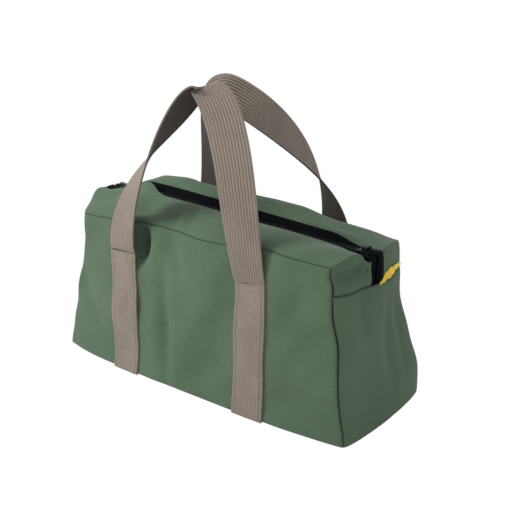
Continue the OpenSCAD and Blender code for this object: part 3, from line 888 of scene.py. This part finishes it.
class BagBody(Maker):
    """Canvas of the two long sides, the two ends and the base."""

    kind = "body"
    crowding = 0.012
    corner_reach = 0.003
    base_z = 0.0001
    end_roll_share = 1.3
    stitch_from = 0.008
    stitch_to = 0.124
    stitch_inset = 0.0030

    def risen(self, v: Rows) -> Rows:
        """Shares up a panel, with rows a little closer together near its seams."""
        return v - self.crowding * np.sin(2 * np.pi * v)

    def side_points(self, side: Side, x: Rows, z: Rows) -> Rows:
        """Points of a long side, rolled in at its seams and settled.

        Args:
            side: which long side.
            x: places along the bag, inside the side's outline.
            z: heights.

        Returns:
            Points on the outer face of the canvas.
        """
        f = self.form
        sign = side.value
        reach = f.corner_x(z)
        beside = np.maximum(reach - np.abs(x), 0) + TINY
        bend_s = np.clip((np.abs(x) - f.top_half_length) / f.end_slope, 0, 1)
        top = f.seam_height - (f.seam_height - f.end_seam_height) * bend_s**2
        below = np.where(np.abs(x) > f.top_half_length, np.maximum(top - z, 0), f.seam_height - z) + TINY
        edge = beside * below / np.hypot(beside, below)
        blend = columns(below * np.sign(x), 0 * x, beside)
        s = np.sqrt(np.clip((f.seam_height - z) / (f.seam_height - f.end_seam_height), 0, 1))
        near = (np.exp(-((beside / self.corner_reach) ** 2)) * (z > f.end_seam_height))[:, None]
        out = unit(unit(blend) * (1 - near) + f.bend_out(np.sign(x), s) * near)
        towards = (-out + columns(0 * x, -sign + 0 * x, 0 * x)) / math.sqrt(2)
        points = columns(x, sign * (f.side_y(x, z) - f.tuck(z)), z)
        return f.settled(points + f.rolled(edge, towards))

    def side(self, side: Side) -> Piece:
        """Makes the canvas of one long side."""

        def place(u: Rows, v: Rows) -> Rows:
            """Shares along and up the side to points."""
            z = self.form.seam_height * self.risen(v)
            x = (2 * u - 1) * self.form.corner_x(z)
            return self.side_points(side, x, z)

        name = f"{side.label}_canvas"
        finish = self.finishes.canvas
        made = cloth(name, (190, 96), place, (0.320, 0.155), finish, (0, side.value, 0), seams=(True,) * 4)
        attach(made, "bag")
        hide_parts(f"{side.label}_panel")
        return made

    def end(self, end: End) -> Piece:
        """Makes the canvas of one end."""
        f = self.form

        def place(u: Rows, v: Rows) -> Rows:
            """Shares across and up the end to points."""
            across = 2 * u - 1
            z = f.end_seam_z(across * f.top_half_depth) * self.risen(v)
            y = across * f.half_depth(z)
            beside = f.half_depth(z) - np.abs(y)
            below = f.end_seam_z(y) - z
            points = columns(end.value * (f.end_x(y, z) - f.tuck(z)), y, z)
            inward = columns(-end.value + 0 * y, -np.sign(y), 0 * y) / math.sqrt(2)
            points = points + f.rolled(beside, inward)
            points = points + f.rolled(below * self.end_roll_share, f.end_turn(end, y, below=True))
            return f.settled(points)

        name = f"{end.part}_end_canvas"
        finish = self.finishes.canvas
        made = cloth(name, (72, 76), place, (0.122, 0.127), finish, (end.value, 0, 0), seams=(True,) * 4)
        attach(made, "bag")
        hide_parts(f"{end.part}_end_panel")
        return made

    def base(self) -> Piece:
        """Makes the canvas that the bag stands on."""
        f = self.form

        def place(u: Rows, v: Rows) -> Rows:
            """Shares along and across the base to points."""
            along, across = 2 * u - 1, 2 * v - 1
            half = f.end_x(across * f.base_half_depth, 0 * u) - f.base_roll
            depth = f.side_y(along * f.base_half_length, 0 * u) - f.base_roll
            x, y = along * half, across * depth
            return columns(x, y, self.base_z + 0 * x)

        made = cloth("base_canvas", (60, 28), place, (0.327, 0.122), self.finishes.lining, (0, 0, -1))
        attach(made, "bag")
        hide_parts("bottom_panel")
        return made

    def corner_stitches(self, side: Side, end: End) -> Piece:
        """Makes the stitches beside one upright seam."""
        z = np.linspace(self.stitch_from, self.stitch_to, 60)
        line = self.side_points(side, end.value * (self.form.corner_x(z) - self.stitch_inset), z)
        out = columns(end.value * 0.5 + 0 * z, side.value + 0 * z, 0 * z)
        name = f"{side.label}_{end.label}_corner_stitches"
        made = stitches(name, line, out, self.finishes.thread, pitch=0.0042)
        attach(made, "bag")
        return made

    def build(self) -> None:
        """Builds all the canvas of the body."""
        made = [self.base()]
        made += [self.side(side) for side in Side]
        made += [self.end(end) for end in End]
        made += [self.corner_stitches(side, end) for side in Side for end in End]
        self.tell(*made)


class Bindings(Maker):
    """Bound seam allowances inside the bag, along the seams that they follow."""

    kind = "binding"
    start = 0.0042
    reach = 0.0070
    inset = 0.0015
    foot = 0.013
    crown = 0.122
    side_half = 0.158
    end_half = 0.043
    rise = 0.6

    def strip(self, name: str, node: str, line: Line, inward: Vec3, length: float) -> None:
        """Makes one bound seam allowance.

        Args:
            name: the piece's name.
            node: the node of the part that it replaces.
            line: gives the seam's points for shares along it.
            inward: the direction in which the allowance stands.
            length: of the seam.
        """

        def place(u: Rows, v: Rows) -> Rows:
            """Shares along and across the allowance to points."""
            out = unit(np.array(inward, dtype=float))
            return self.form.settled(line(u)) + (self.start + self.reach * v)[:, None] * out

        made = cloth(name, (48, 4), place, (length, self.reach), self.finishes.binding, inward, 0.002, 0.0)
        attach(made, "bag")
        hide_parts(node)
        self.tell(made)

    def upright(self, side: Side, end: End) -> None:
        """Makes the allowance of one upright corner seam."""
        f = self.form

        def line(u: Rows) -> Rows:
            """Shares up the seam to points."""
            z = self.foot + (self.crown - self.foot) * u
            x = end.value * (f.corner_x(z) - self.inset)
            return columns(x, side.value * (f.half_depth(z) - self.inset), z)

        name = f"{side.label}_{end.label}_corner_binding"
        self.strip(name, "corner_bindings", line, (-end.value, -side.value, 0), self.crown - self.foot)

    def along_side(self, side: Side) -> None:
        """Makes the allowance between a long side and the base."""
        f = self.form

        def line(u: Rows) -> Rows:
            """Shares along the seam to points."""
            x = (2 * u - 1) * self.side_half
            z = self.inset + 0 * u
            return columns(x, side.value * (f.side_y(x, z) - self.inset), z)

        name = f"{side.label}_base_binding"
        self.strip(name, "base_bindings", line, (0, -side.value, self.rise), 2 * self.side_half)

    def along_end(self, end: End) -> None:
        """Makes the allowance between an end and the base."""
        f = self.form

        def line(u: Rows) -> Rows:
            """Shares along the seam to points."""
            y = (2 * u - 1) * self.end_half
            z = self.inset + 0 * u
            return columns(end.value * (f.end_x(y, z) - self.inset), y, z)

        name = f"{end.label}_end_base_binding"
        self.strip(name, "base_bindings", line, (-end.value, 0, self.rise), 2 * self.end_half)

    def build(self) -> None:
        """Builds all the bindings."""
        for end in End:
            self.along_end(end)
            for side in Side:
                self.upright(side, end)
        for side in Side:
            self.along_side(side)


# The zipped top


class ZippedTop(Maker):
    """The top in two halves, turned down over the ends, with the zip between them."""

    kind = "top"
    crown_places = (-0.142, -0.128, -0.108, -0.070, 0.0, 0.060, 0.100, 0.142)
    crowns = {
        Side.FRONT: (0.004, 0.004, 0.005, 0.006, 0.006, 0.006, 0.006, 0.004),
        Side.REAR: (0.003, 0.006, 0.015, 0.018, 0.016, 0.014, 0.010, 0.004),
    }
    bend_share = 0.2
    fixed_x = 0.130
    free_x = 0.050
    pitch = 0.004
    chain_end = 0.1345
    tape_rows = (0.0012, 0.0030, 0.0050, 0.0061, 0.0065, 0.0071, 0.0085, 0.0105, 0.0125)
    lap_place = -0.106
    lap_length = 0.018
    lap_depth = 0.022
    lap_shift = 0.0105
    lap_rise = 0.0062
    side_roll_share = 1.25
    end_roll_run = 0.030
    level_gap = 0.02
    hem_reach = 0.003
    hem_depth = 0.0009
    hem_share = 0.055
    stitched_share = 0.80
    allowance_share = 0.83
    allowance_inset = 0.0015
    allowance_slant = 0.0008
    allowance_rise = 0.0001
    allowance_drop = 0.0058
    blend_z = 0.16
    # Size of a tooth's back and of its head, each with its distance from the middle of the chain
    tooth_parts = (((0.0018, 0.0029, 0.0024), 0.00215), ((0.0014, 0.0014, 0.0022), 0.0))
    bevel = 0.0003
    # Teeth beyond the mouth, in turn on the front and the rear tape
    end_teeth = (0.1383, 0.1403, -0.1383, -0.1403, -0.1423, -0.1443)
    stop_x = -0.1492
    stop_size = (0.0012, 0.0072, 0.0024)

    def bent(self, along: Rows) -> Rows:
        """Shares of the bend from the level run to the end seam."""
        return np.clip((np.abs(along) - 1) / self.bend_share, 0, 1)

    def upward(self, end: End, s: Rows) -> Rows:
        """Directions out of the top, which turn from up to outward over the bend."""
        return unit(columns(end.value * s, 0 * s, 1 - s + TINY))

    def surface(self, side: Side, along: Rows, y: Rows) -> Rows:
        """Points of the smooth top.

        Args:
            side: front or rear half.
            along: from -1.2 at the left end seam, over -1 and 1 where the level run ends, to 1.2.
            y: distance from the zip, counted positive.

        Returns:
            The points before they settle.
        """
        f = self.form
        run = np.clip(along, -1, 1)
        x = run * f.lead_x(y)
        crown = np.interp(x, self.crown_places, self.crowns[side])
        s = self.bent(along)
        over = np.abs(along) > 1
        x = np.where(over, np.sign(along) * f.bend_x(y, s), x)
        level = f.top_z(np.sign(along) * f.lead_x(y), y, crown)
        z = np.where(over, level + (f.end_seam_z(y) - level) * s * s, f.top_z(x, y, crown))
        if side is Side.REAR:
            z = z + f.zip_lift(x, y)
        return columns(x, side.value * y, z)

    def lapped(self, points: Rows) -> Rows:
        """How far the front canvas lies over the zip where its edge has slumped."""
        near = np.clip(1 - (-points[:, 1] - self.form.zip_edge) / self.lap_depth, 0, 1) ** 1.5
        share = np.exp(-(((points[:, 0] - self.lap_place) / self.lap_length) ** 2)) * near
        return columns(0 * share, self.lap_shift * share, self.lap_rise * share)

    def canvas_points(self, side: Side, end: End, u: Rows, v: Rows) -> Rows:
        """Points of one quarter's canvas.

        Args:
            side: front or rear.
            end: which end.
            u: shares from the middle of the bag to the end seam.
            v: shares from the zip to the long seam.

        Returns:
            The settled points on its outer face.
        """
        f = self.form
        along = end.value * u * (1 + self.bend_share)
        y = f.zip_edge + (f.top_half_depth - f.zip_edge) * v
        points = self.surface(side, along, y)
        if side is Side.FRONT:
            points = points + self.lapped(points)
        s = self.bent(along)
        beside = (f.top_half_depth - y) * self.side_roll_share
        inward = columns(0 * s, -side.value + 0 * s, 0 * s)
        towards = (-f.bend_out(end.value, s) + inward) / math.sqrt(2)
        points = points + f.rolled(beside, towards)
        above = (1 - s) * self.end_roll_run + (np.abs(along) < 1) * self.level_gap
        points = points + f.rolled(above, f.end_turn(end, s, below=False))
        hem = np.clip(1 - (y - f.zip_edge) / self.hem_reach, 0, 1) ** 2 * self.hem_depth
        return f.settled(points - hem[:, None] * self.upward(end, s))

    def half(self, side: Side, end: End) -> Piece:
        """Makes one quarter of the top: one side of the zip, from the middle to one end."""

        def place(u: Rows, v: Rows) -> Rows:
            """Shares along and across the quarter to points."""
            return self.canvas_points(side, end, u, v)

        name = f"{side.label}_top_{end.part}_canvas"
        outward = (end.value * 0.3, side.value * 0.3, 1)
        sewn = (False, True, False, True)
        made = cloth(name, (96, 30), place, (0.178, 0.062), self.finishes.canvas, outward, seams=sewn)
        self.join(made, side, end)
        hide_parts(f"{side.label}_top_half", f"{end.part}_top_end")
        return made

    def allowance(self, side: Side, end: End) -> Piece:
        """Makes the edge of one quarter that is turned down inside the long seam."""

        def place(u: Rows, v: Rows) -> Rows:
            """Shares along the seam and down the allowance to points."""
            seam = self.canvas_points(side, end, u * self.allowance_share, 1 + 0 * u)
            inset = self.allowance_inset + self.allowance_slant * v
            return seam + columns(0 * u, -side.value * inset, self.allowance_rise - self.allowance_drop * v)

        name = f"{side.label}_top_{end.part}_allowance"
        made = cloth(name, (80, 3), place, (0.142, 0.006), self.finishes.lining, (0, side.value, 0))
        self.join(made, side, end)
        return made

    def hem(self, side: Side, end: End) -> Piece:
        """Makes the stitches that hold the zip tape under the canvas edge of one quarter."""
        u = np.linspace(0, self.stitched_share, 160)
        line = self.canvas_points(side, end, u, self.hem_share + 0 * u)
        up = columns(0 * u, 0 * u, 1 + 0 * u)
        made = stitches(f"{side.label}_zip_stitches_{end.part}", line, up, self.finishes.thread)
        self.join(made, side, end)
        return made

    def join(self, piece: Piece, side: Side, end: End) -> None:
        """Bakes the piece's placement into its mesh."""
        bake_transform(piece)

    def tape(self, side: Side, end: End) -> Piece:
        """Makes one quarter of the zip tape, under the canvas edge and down over the end."""
        f = self.form

        def place(u: Rows, v: Rows) -> Rows:
            """Shares along and across the tape to points."""
            along = end.value * u * (1 + self.bend_share)
            y = np.interp(v, np.linspace(0, 1, len(self.tape_rows)), self.tape_rows)
            points = self.surface(side, along, y)
            return f.carried(points - f.tape_drop * self.upward(end, self.bent(along)))

        name = f"{side.label}_zip_tape_{end.part}"
        made = cloth(name, (96, 8), place, (0.178, 0.011), self.finishes.tape, (0, 0, 1), 0.0008)
        self.join(made, side, end)
        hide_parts(f"{side.label}_zip_tape", f"{end.part}_zip_end_tapes")
        return made

    def chain_place(self, x: float) -> Vector:
        """Middle of the chain at a place along the zip, where it lies."""
        f = self.form
        chain = columns(np.array([x]), 0.0, f.zip_z(np.array([x])) - f.chain_drop)
        return Vector(f.carried(chain)[0])

    def tooth(self, mesh: Mesh, x: float, side: Side) -> None:
        """Adds one tooth: a back on the tape and a head that reaches past the middle."""
        for size, shift in self.tooth_parts:
            block(mesh, size, self.chain_place(x) + Vector((0, side.value * shift, 0)))

    def hard_object(self, mesh: Mesh, name: str, node: str) -> Piece:
        """Bevels small hard parts and makes one object of them."""
        edges = mesh.edges[:]
        bmesh.ops.bevel(
            mesh, geom=edges, offset=self.bevel, segments=1, profile=0.5, affect="EDGES", material=-1
        )
        made = as_object(mesh, name, self.finishes.teeth, smooth=False)
        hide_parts(node)
        return made

    def teeth(self, side: Side, end: End) -> Piece:
        """Makes the teeth of one quarter of the zip."""
        mesh = bmesh.new()
        first = self.pitch / 2
        if side is Side.REAR:
            first = 0.0 if end is End.CLOSED else self.pitch
        for k in range(int(self.chain_end / self.pitch) + 1):
            x = end.value * (first + k * self.pitch)
            if abs(x) < self.chain_end:
                self.tooth(mesh, x, side)
        name = f"{side.label}_teeth_{end.part}"
        made = self.hard_object(mesh, name, f"{side.label}_zip_teeth")
        self.join(made, side, end)
        return made

    def chain_ends(self) -> None:
        """Makes the teeth that stay closed beyond the mouth, and the stop below them."""
        teeth, stop = bmesh.new(), bmesh.new()
        for k, x in enumerate(self.end_teeth):
            self.tooth(teeth, x, Side.REAR if k % 2 else Side.FRONT)
        block(stop, self.stop_size, self.chain_place(self.stop_x))
        for mesh, name, node in (
            (teeth, "chain_end_teeth", "zip_end_teeth"),
            (stop, "bottom_stop_block", "zip_bottom_stop"),
        ):
            made = self.hard_object(mesh, name, node)
            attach(made, "bag")
            self.tell(made)

    def build(self) -> None:
        """Builds the four quarters of the top and of the zip."""
        for side in Side:
            for end in End:
                for make in (self.half, self.tape, self.teeth, self.allowance, self.hem):
                    self.tell(make(side, end))
        self.chain_ends()


# The handles


@dataclass(frozen=True)
class HandleForm:
    """Path of one handle's free webbing above its stitching."""

    rise: float
    skew: float
    upright: float
    rise_powers: tuple[float, float]
    draw_powers: tuple[float, float]
    skew_power: float
    sways: tuple[float, float]
    left_shift: float
    bow: float
    twist: float
    half_turns: float
    lean: float = 0.038
    spacing: float = 0.154
    foot: float = 0.12145
    width: float = 0.032
    leg_y: float = -0.056334
    lean_power: float = 2.4
    twist_shift: float = 0.0
    twist_power: float = 2.0
    turn_from: float = math.radians(3)
    turn_to: float = math.radians(121)
    turn_power: float = 4.0
    # Brings the largest value of up * up * (1 - up) to one
    sway_scale: float = 27 / 4

    def turned(self, a: Rows) -> Rows:
        """Turn of the webbing about its own line at a place along the path."""
        s = np.clip((a - self.turn_from) / (self.turn_to - self.turn_from), 0, 1)
        share = 1 - (1 - s) ** self.turn_power * (1 + self.turn_power * s)
        moved = a - self.twist_shift * np.sin(a) ** 2
        return self.twist * np.sin(moved) ** self.twist_power + math.pi * self.half_turns * share

    def point(self, a: Rows) -> Rows:
        """Middle of the webbing before it leans; a runs from 0 at the right leg to pi at the left leg."""
        left = np.cos(a) < 0
        up = np.abs(np.sin(a)) ** np.where(left, self.rise_powers[1], self.rise_powers[0])
        draw = np.where(left, self.draw_powers[1], self.draw_powers[0])
        side = np.sign(np.cos(a)) * np.abs(np.cos(a)) ** draw
        sway = np.where(left, self.sways[1], self.sways[0])
        swayed = self.sway_scale * sway * up * up * (1 - up)
        x = side * self.spacing / 2 + swayed - self.skew * up**self.skew_power
        x = x + self.left_shift * np.clip(-np.cos(a), 0, 1)
        y = self.leg_y - 4 * self.bow * up * (1 - up) + self.lean * up**self.lean_power
        return columns(x, y, self.foot + self.rise * up)

    def webbing(self, a: Rows, across: Rows, raised: Rows) -> Rows:
        """Points on the webbing.

        Args:
            a: place along the path.
            across: from -1 to 1 over the width.
            raised: height above the middle of the webbing.

        Returns:
            The points.
        """
        step = 0.01
        ahead = self.point(np.minimum(a + step, math.pi))
        along = unit(ahead - self.point(np.maximum(a - step, 0)))
        turn = self.turned(a)[:, None]
        outward = unit(np.cross([0.0, 1.0, 0.0], along))
        rough = np.cos(turn) * outward + np.sin(turn) * np.array([0.0, 1.0, 0.0])
        wide = unit(rough - np.sum(rough * along, axis=1)[:, None] * along)
        face = np.cross(wide, along)
        points = self.point(a) + wide * (across * self.width / 2)[:, None] + face * raised[:, None]
        held = self.upright * FORM.top_lean * FORM.lean_share(points[:, 2])
        return points - columns(held, 0 * held, 0 * held)


class Handles(Maker):
    """Two webbing handles: the parts sewn down the sides, and the free arches."""

    kind = "handle"
    forms = {
        Side.FRONT: HandleForm(
            rise=0.150, skew=0.001, upright=1.0, rise_powers=(1.3, 1.3), draw_powers=(1.35, 1.35),
            skew_power=1.5, sways=(0.0065, 0.0105), left_shift=0.0035, bow=0.005, twist=1.60,
            half_turns=0.0, twist_shift=0.38,
        ),
        Side.REAR: HandleForm(
            rise=0.1445, skew=0.022, upright=0.0, rise_powers=(1.20, 1.0), draw_powers=(1.34, 1.06),
            skew_power=2.2, sways=(0.0, 0.0), left_shift=0.0, bow=0.008, twist=-0.5, half_turns=1.0,
        ),
    }
    ribs = 12
    rib_height = 0.00028
    selvedge = 14
    rows = (0.085, 0.915)
    row_width = 0.02
    row_depth = 0.0003
    row_from = 0.02
    cross_rows = (0.945, 0.985)
    row_raised = 0.0008
    pressed = 0.3
    thickness = 0.0015
    sewn_from = 0.0004
    sewn_to = 0.1209
    sag = 0.0008
    seat = 0.0011
    shade_side = -0.8
    shade_run = 0.03
    shade_down = -1.5
    fold_y = {Side.FRONT: -0.066, Side.REAR: 0.049}
    fold_z = (0.1205, 0.127)

    def __init__(self, finishes: Finishes, body: BagBody) -> None:
        """Keeps the finishes and the body that the webbing is sewn to."""
        super().__init__(finishes)
        self.body = body

    def rib(self, v: Rows) -> Rows:
        """Relief across the webbing, with flat selvedges."""
        flat = np.clip((0.5 - np.abs(v - 0.5)) * self.selvedge, 0, 1)
        return self.rib_height * np.abs(np.sin(np.pi * v * self.ribs)) * flat

    def sewn_points(self, side: Side, end: End, u: Rows, v: Rows, raised: Rows) -> Rows:
        """Points on a sewn strap.

        Args:
            side: front or rear.
            end: which end.
            u: shares from the base to the stitch line.
            v: shares across the strap.
            raised: height above the middle of the webbing.

        Returns:
            The points.
        """
        path = self.forms[side]
        z = self.sewn_from + (self.sewn_to - self.sewn_from) * u
        held = path.upright * FORM.top_lean * FORM.lean_share(z)
        middle = end.value * path.spacing / 2 - held
        if end is End.OPEN:
            middle = middle + path.left_shift
        x = middle + (v - 0.5) * path.width
        wanted = x + FORM.top_lean * FORM.lean_share(z)
        for _ in range(3):
            x = x + wanted - self.body.side_points(side, x, z)[:, 0]
        on = self.body.side_points(side, x, z)
        bridged = side.value * self.body.side_points(side, middle, z)[:, 1] - self.sag
        on[:, 1] = side.value * (np.maximum(side.value * on[:, 1], bridged) + self.seat + raised)
        return on

    def sewn(self, side: Side, end: End) -> Piece:
        """Makes a strap that is sewn down one side, up to its stitch line."""

        def place(u: Rows, v: Rows) -> Rows:
            """Shares up and across the strap to points."""
            rows = sum(np.exp(-(((v - row) / self.row_width) ** 2)) for row in self.rows)
            raised = self.rib(v) * self.pressed - self.row_depth * rows
            return self.sewn_points(side, end, u, v, raised)

        name = f"{side.label}_{end.part}_sewn_webbing"
        finish = self.finishes.webbing_sewn
        outward = (0, side.value, 0)
        made = cloth(name, (60, 72), place, (0.124, 0.032), finish, outward, self.thickness, 0.0)
        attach(made, "bag")
        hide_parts(f"{side.label}_{end.part}_strap")
        return made

    def seam_rows(self, side: Side, end: End) -> None:
        """Makes the stitches of one sewn strap: a row beside each edge and two across its top."""
        up = np.linspace(self.row_from, self.cross_rows[1], 60)
        over = np.linspace(self.rows[0], self.rows[1], 12)
        lines = [(up, row + 0 * up) for row in self.rows]
        lines += [(top + 0 * over, over) for top in self.cross_rows]
        for k, (u, v) in enumerate(lines):
            line = self.sewn_points(side, end, u, v, 0 * u + self.row_raised)
            out = columns(0 * u, side.value + 0 * u, 0 * u)
            name = f"{side.label}_{end.part}_strap_stitches_{k}"
            made = stitches(name, line, out, self.finishes.tan_thread)
            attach(made, "bag")
            self.tell(made)

    def shade(self, made: Piece, side: Side) -> None:
        """Stores how far each of the two faces of an arch looks in under the handles."""
        data = made.data
        x = np.array([vert.co.x for vert in data.vertices])
        inward = unit(columns(self.shade_side * np.tanh(x / self.shade_run), -side.value, self.shade_down))
        share = np.sum(np.array([vert.normal[:] for vert in data.vertices]) * inward, axis=1)
        layer = data.uv_layers.new(name="shade")
        for loop in data.loops:
            value = share[loop.vertex_index]
            layer.uv[loop.index].vector = (value, -value)

    def arch(self, side: Side) -> Piece:
        """Makes the free arch of one handle."""
        path = self.forms[side]

        def place(u: Rows, v: Rows) -> Rows:
            """Shares along and across the arch to points."""
            points = path.webbing(math.pi * u, 2 * v - 1, self.rib(v))
            if side is Side.REAR:
                points = points * np.array([1.0, -1.0, 1.0])
            return FORM.leaned(points)

        name = f"{side.label}_handle_arch"
        outward = (0, side.value, 0)
        finish = self.finishes.webbing
        made = cloth(name, (220, 72), place, (0.420, 0.032), finish, outward, self.thickness, 0.0)
        made.data.materials.append(self.finishes.webbing_inside)
        made.modifiers["wall"].material_offset = 1
        self.shade(made, side)
        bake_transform(made)
        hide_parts(f"{side.label}_handle_webbing")
        return made

    def build(self) -> None:
        """Builds both handles."""
        for side in Side:
            pieces = [self.sewn(side, end) for end in End] + [self.arch(side)]
            for end in End:
                self.seam_rows(side, end)
            self.tell(*pieces)


# The pull


class Pull(Maker):
    """Dark cord tape from the slider down over the end, and the bright ribbon on it."""

    kind = "pull"
    cord_from = 0.1423
    cord_foot = 0.1265
    cord_width = 0.005
    level_share = 0.25
    clear = 0.002
    # Steps from the middle of the chain up to the middle of the tape
    cord_heights = (0.0015, 0.0012, 0.0008)
    ribbon_from = 0.0028
    ribbon_length = 0.042
    ribbon_half = 0.0036
    ribbon_off = 0.0012
    ribbon_narrow = 0.40
    ribbon_bulge = 0.0040
    ribbon_climb = 0.0018
    ribbon_drift = 0.001
    ripples = (0.0009, 0.0006)

    def cord(self) -> Piece:
        """Makes the cord tape."""
        f = self.form

        def place(u: Rows, v: Rows) -> Rows:
            """Shares along and across the tape to points."""
            start, edge = self.cord_from, float(f.seam_x(np.array(0.0))) + self.clear
            s = np.clip((u - self.level_share) / (1 - self.level_share), 0, 1)
            run = np.clip(u / self.level_share, 0, 1)
            x = (start + (float(f.lead_x(np.array(0.0))) - start) * run) * (1 - s) ** 3
            x = x + (edge + self.clear) * (3 * s * (1 - s) ** 2 + 3 * s * s * (1 - s)) + edge * s**3
            top = float(f.zip_z(np.array(start))) - f.chain_drop
            for height in self.cord_heights:
                top += height
            z = top + (self.cord_foot - top) * s * s * (3 - 2 * s)
            return f.leaned(columns(x, (v - 0.5) * self.cord_width, z))

        size = (0.040, self.cord_width)
        made = cloth("pull_cord_tape", (40, 4), place, size, self.finishes.cord, (0, 0, 1), 0.001, 0.0)
        self.attach(made, "pull_cord", "pull_cord")
        return made

    def ribbon(self) -> Piece:
        """Makes the ribbon, with waved edges and a slight twist."""
        f = self.form

        def place(u: Rows, v: Rows) -> Rows:
            """Shares along and across the ribbon to points."""
            y = self.ribbon_from + self.ribbon_length * u
            belly = np.sin(np.pi * np.clip(u * 1.15, 0, 1)) ** 0.8
            width = self.ribbon_half * (self.ribbon_narrow + (1 - self.ribbon_narrow) * belly)
            across, bulge = 2 * v - 1, np.sin(np.pi * u)
            wave = self.ripples[0] * np.sin(across * 2.6 + u * 9) * bulge
            x = f.seam_x(y) + self.ribbon_off + wave + self.ribbon_drift * u
            climb = self.ribbon_climb * u + self.ribbon_bulge * bulge
            z = f.end_seam_z(y) + self.ribbon_off + climb + across * width
            z = z + self.ripples[1] * np.sin(u * 31 + across)
            return f.leaned(columns(x, y, z))

        size = (self.ribbon_length, 0.009)
        made = cloth("pull_ribbon_leaf", (44, 10), place, size, self.finishes.ribbon, (1, 0, 0), 0.0006, 0.0)
        self.attach(made, "pull_ribbon", "pull_ribbon")
        return made

    def attach(self, piece: Piece, node: str, slot: str) -> None:
        """Puts a piece on the slider with a mesh of its own, and hides the node that it replaces."""
        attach(piece, "slider")
        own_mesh(piece)
        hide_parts(node)

    def build(self) -> None:
        """Builds the pull."""
        self.tell(self.cord(), self.ribbon())


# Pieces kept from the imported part


class KeptPieces:
    """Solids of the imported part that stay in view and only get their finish."""

    def __init__(self, finishes: Finishes) -> None:
        """Keeps the finishes."""
        self.plan = {
            finishes.teeth: ("zip_top_stops",),
            finishes.slider: ("slider_body", "slider_bridge"),
        }

    def build(self) -> None:
        """Dresses each node."""
        for material, names in self.plan.items():
            for name in names:
                self.dress(name, material)

    def dress(self, name: str, material: Material) -> None:
        """Gives one node its material."""
        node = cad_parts[name]
        node.data.materials.clear()
        node.data.materials.append(material)
        log.info("kept node %s", name)


# Floor, light and camera

WHITE = (1, 1, 1, 1)


def aimed(made: Piece, place: Vec3, aim: Vector) -> None:
    """Puts a camera or a lamp at a place and turns it into a direction."""
    made.location = place
    made.rotation_mode = "QUATERNION"
    made.rotation_quaternion = aim.to_track_quat("-Z", "Y")


def seen_white(g: Graph, lit: Node, kind: str, rays: Sequence[str], out: Node) -> None:
    """Lets what is lit show as plain white to some kinds of ray.

    Args:
        g: the graph of the material or the world.
        lit: the shader that gives the light.
        kind: Blender's name of the node that shows white.
        rays: the kinds of ray that see white.
        out: the output node.
    """
    white = g.node(kind, Color=WHITE, Strength=1.0)
    path = g.node("ShaderNodeLightPath")
    share = path.outputs[rays[0]]
    for ray in rays[1:]:
        share = g.math("MAXIMUM", share, path.outputs[ray])
    mix = g.node("ShaderNodeMixShader")
    for k, socket in enumerate((share, lit.outputs[0], white.outputs[0])):
        g.link(socket, mix.inputs[k])
    g.link(mix.outputs[0], out.inputs["Surface"])


class Studio:
    """Pale floor, soft light and the photograph's viewpoint."""

    azimuth = 0.66326
    elevation = 0.30710
    lens = 52.921
    place = (0.44653, -0.52364, 0.32790)
    lit_place = (0, 0, 0.1)
    floor_z = -0.0006
    floor_size = 6.0
    room_light = 0.42

    def camera(self) -> None:
        """Sets the camera at the photograph's angle."""
        data = bpy.data.cameras.new("camera")
        data.lens = self.lens
        data.sensor_width = 36.0
        data.clip_start = 0.01
        made = added("camera", data)
        back = Vector((
            math.sin(self.azimuth) * math.cos(self.elevation),
            -math.cos(self.azimuth) * math.cos(self.elevation),
            math.sin(self.elevation),
        ))
        aimed(made, self.place, -back)
        bpy.context.scene.camera = made

    def backdrop_material(self) -> Material:
        """Makes a pale floor that lights the bag from below and shows as plain white."""
        made, g, shader = principled("pale_floor", 0.9)
        shader.inputs["Base Color"].default_value = (0.85, 0.85, 0.85, 1)
        out = made.node_tree.nodes["Material Output"]
        seen_white(g, shader, "ShaderNodeEmission", ("Is Camera Ray",), out)
        return made

    def floor(self) -> None:
        """Lays the floor."""
        mesh = bmesh.new()
        bmesh.ops.create_grid(mesh, x_segments=1, y_segments=1, size=self.floor_size)
        made = as_object(mesh, "floor", self.backdrop_material(), smooth=False)
        made.data.transform(Matrix.Translation((0, 0, self.floor_z)))

    def lamp(self, name: str, place: Vec3, size: float, power: float) -> None:
        """Hangs one soft area light that looks at the bag."""
        data = bpy.data.lights.new(name, "AREA")
        data.size = size
        data.energy = power
        aimed(added(name, data), place, Vector(self.lit_place) - Vector(place))

    def world(self) -> None:
        """Fills the room with even light, and shows it as white."""
        world = bpy.data.worlds.new("room")
        bpy.context.scene.world = world
        world.use_nodes = True
        g = Graph(world.node_tree)
        light = world.node_tree.nodes["Background"]
        light.inputs["Color"].default_value = WHITE
        light.inputs["Strength"].default_value = self.room_light
        out = world.node_tree.nodes["World Output"]
        seen_white(g, light, "ShaderNodeBackground", ("Is Camera Ray", "Is Glossy Ray"), out)

    def build(self) -> None:
        """Builds the studio."""
        bpy.context.scene.view_settings.view_transform = "Standard"
        self.camera()
        self.floor()
        self.world()
        self.lamp("key", (-0.46, -0.50, 0.60), 0.32, 3.7)
        self.lamp("fill", (1.3, -0.7, 0.8), 1.0, 1.5)


def main() -> None:
    """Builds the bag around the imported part."""
    Studio().build()
    finishes = Finishes()
    body = BagBody(finishes)
    body.build()
    Bindings(finishes).build()
    ZippedTop(finishes).build()
    Handles(finishes, body).build()
    Pull(finishes).build()
    KeptPieces(finishes).build()


if __name__ == "__main__":
    main()
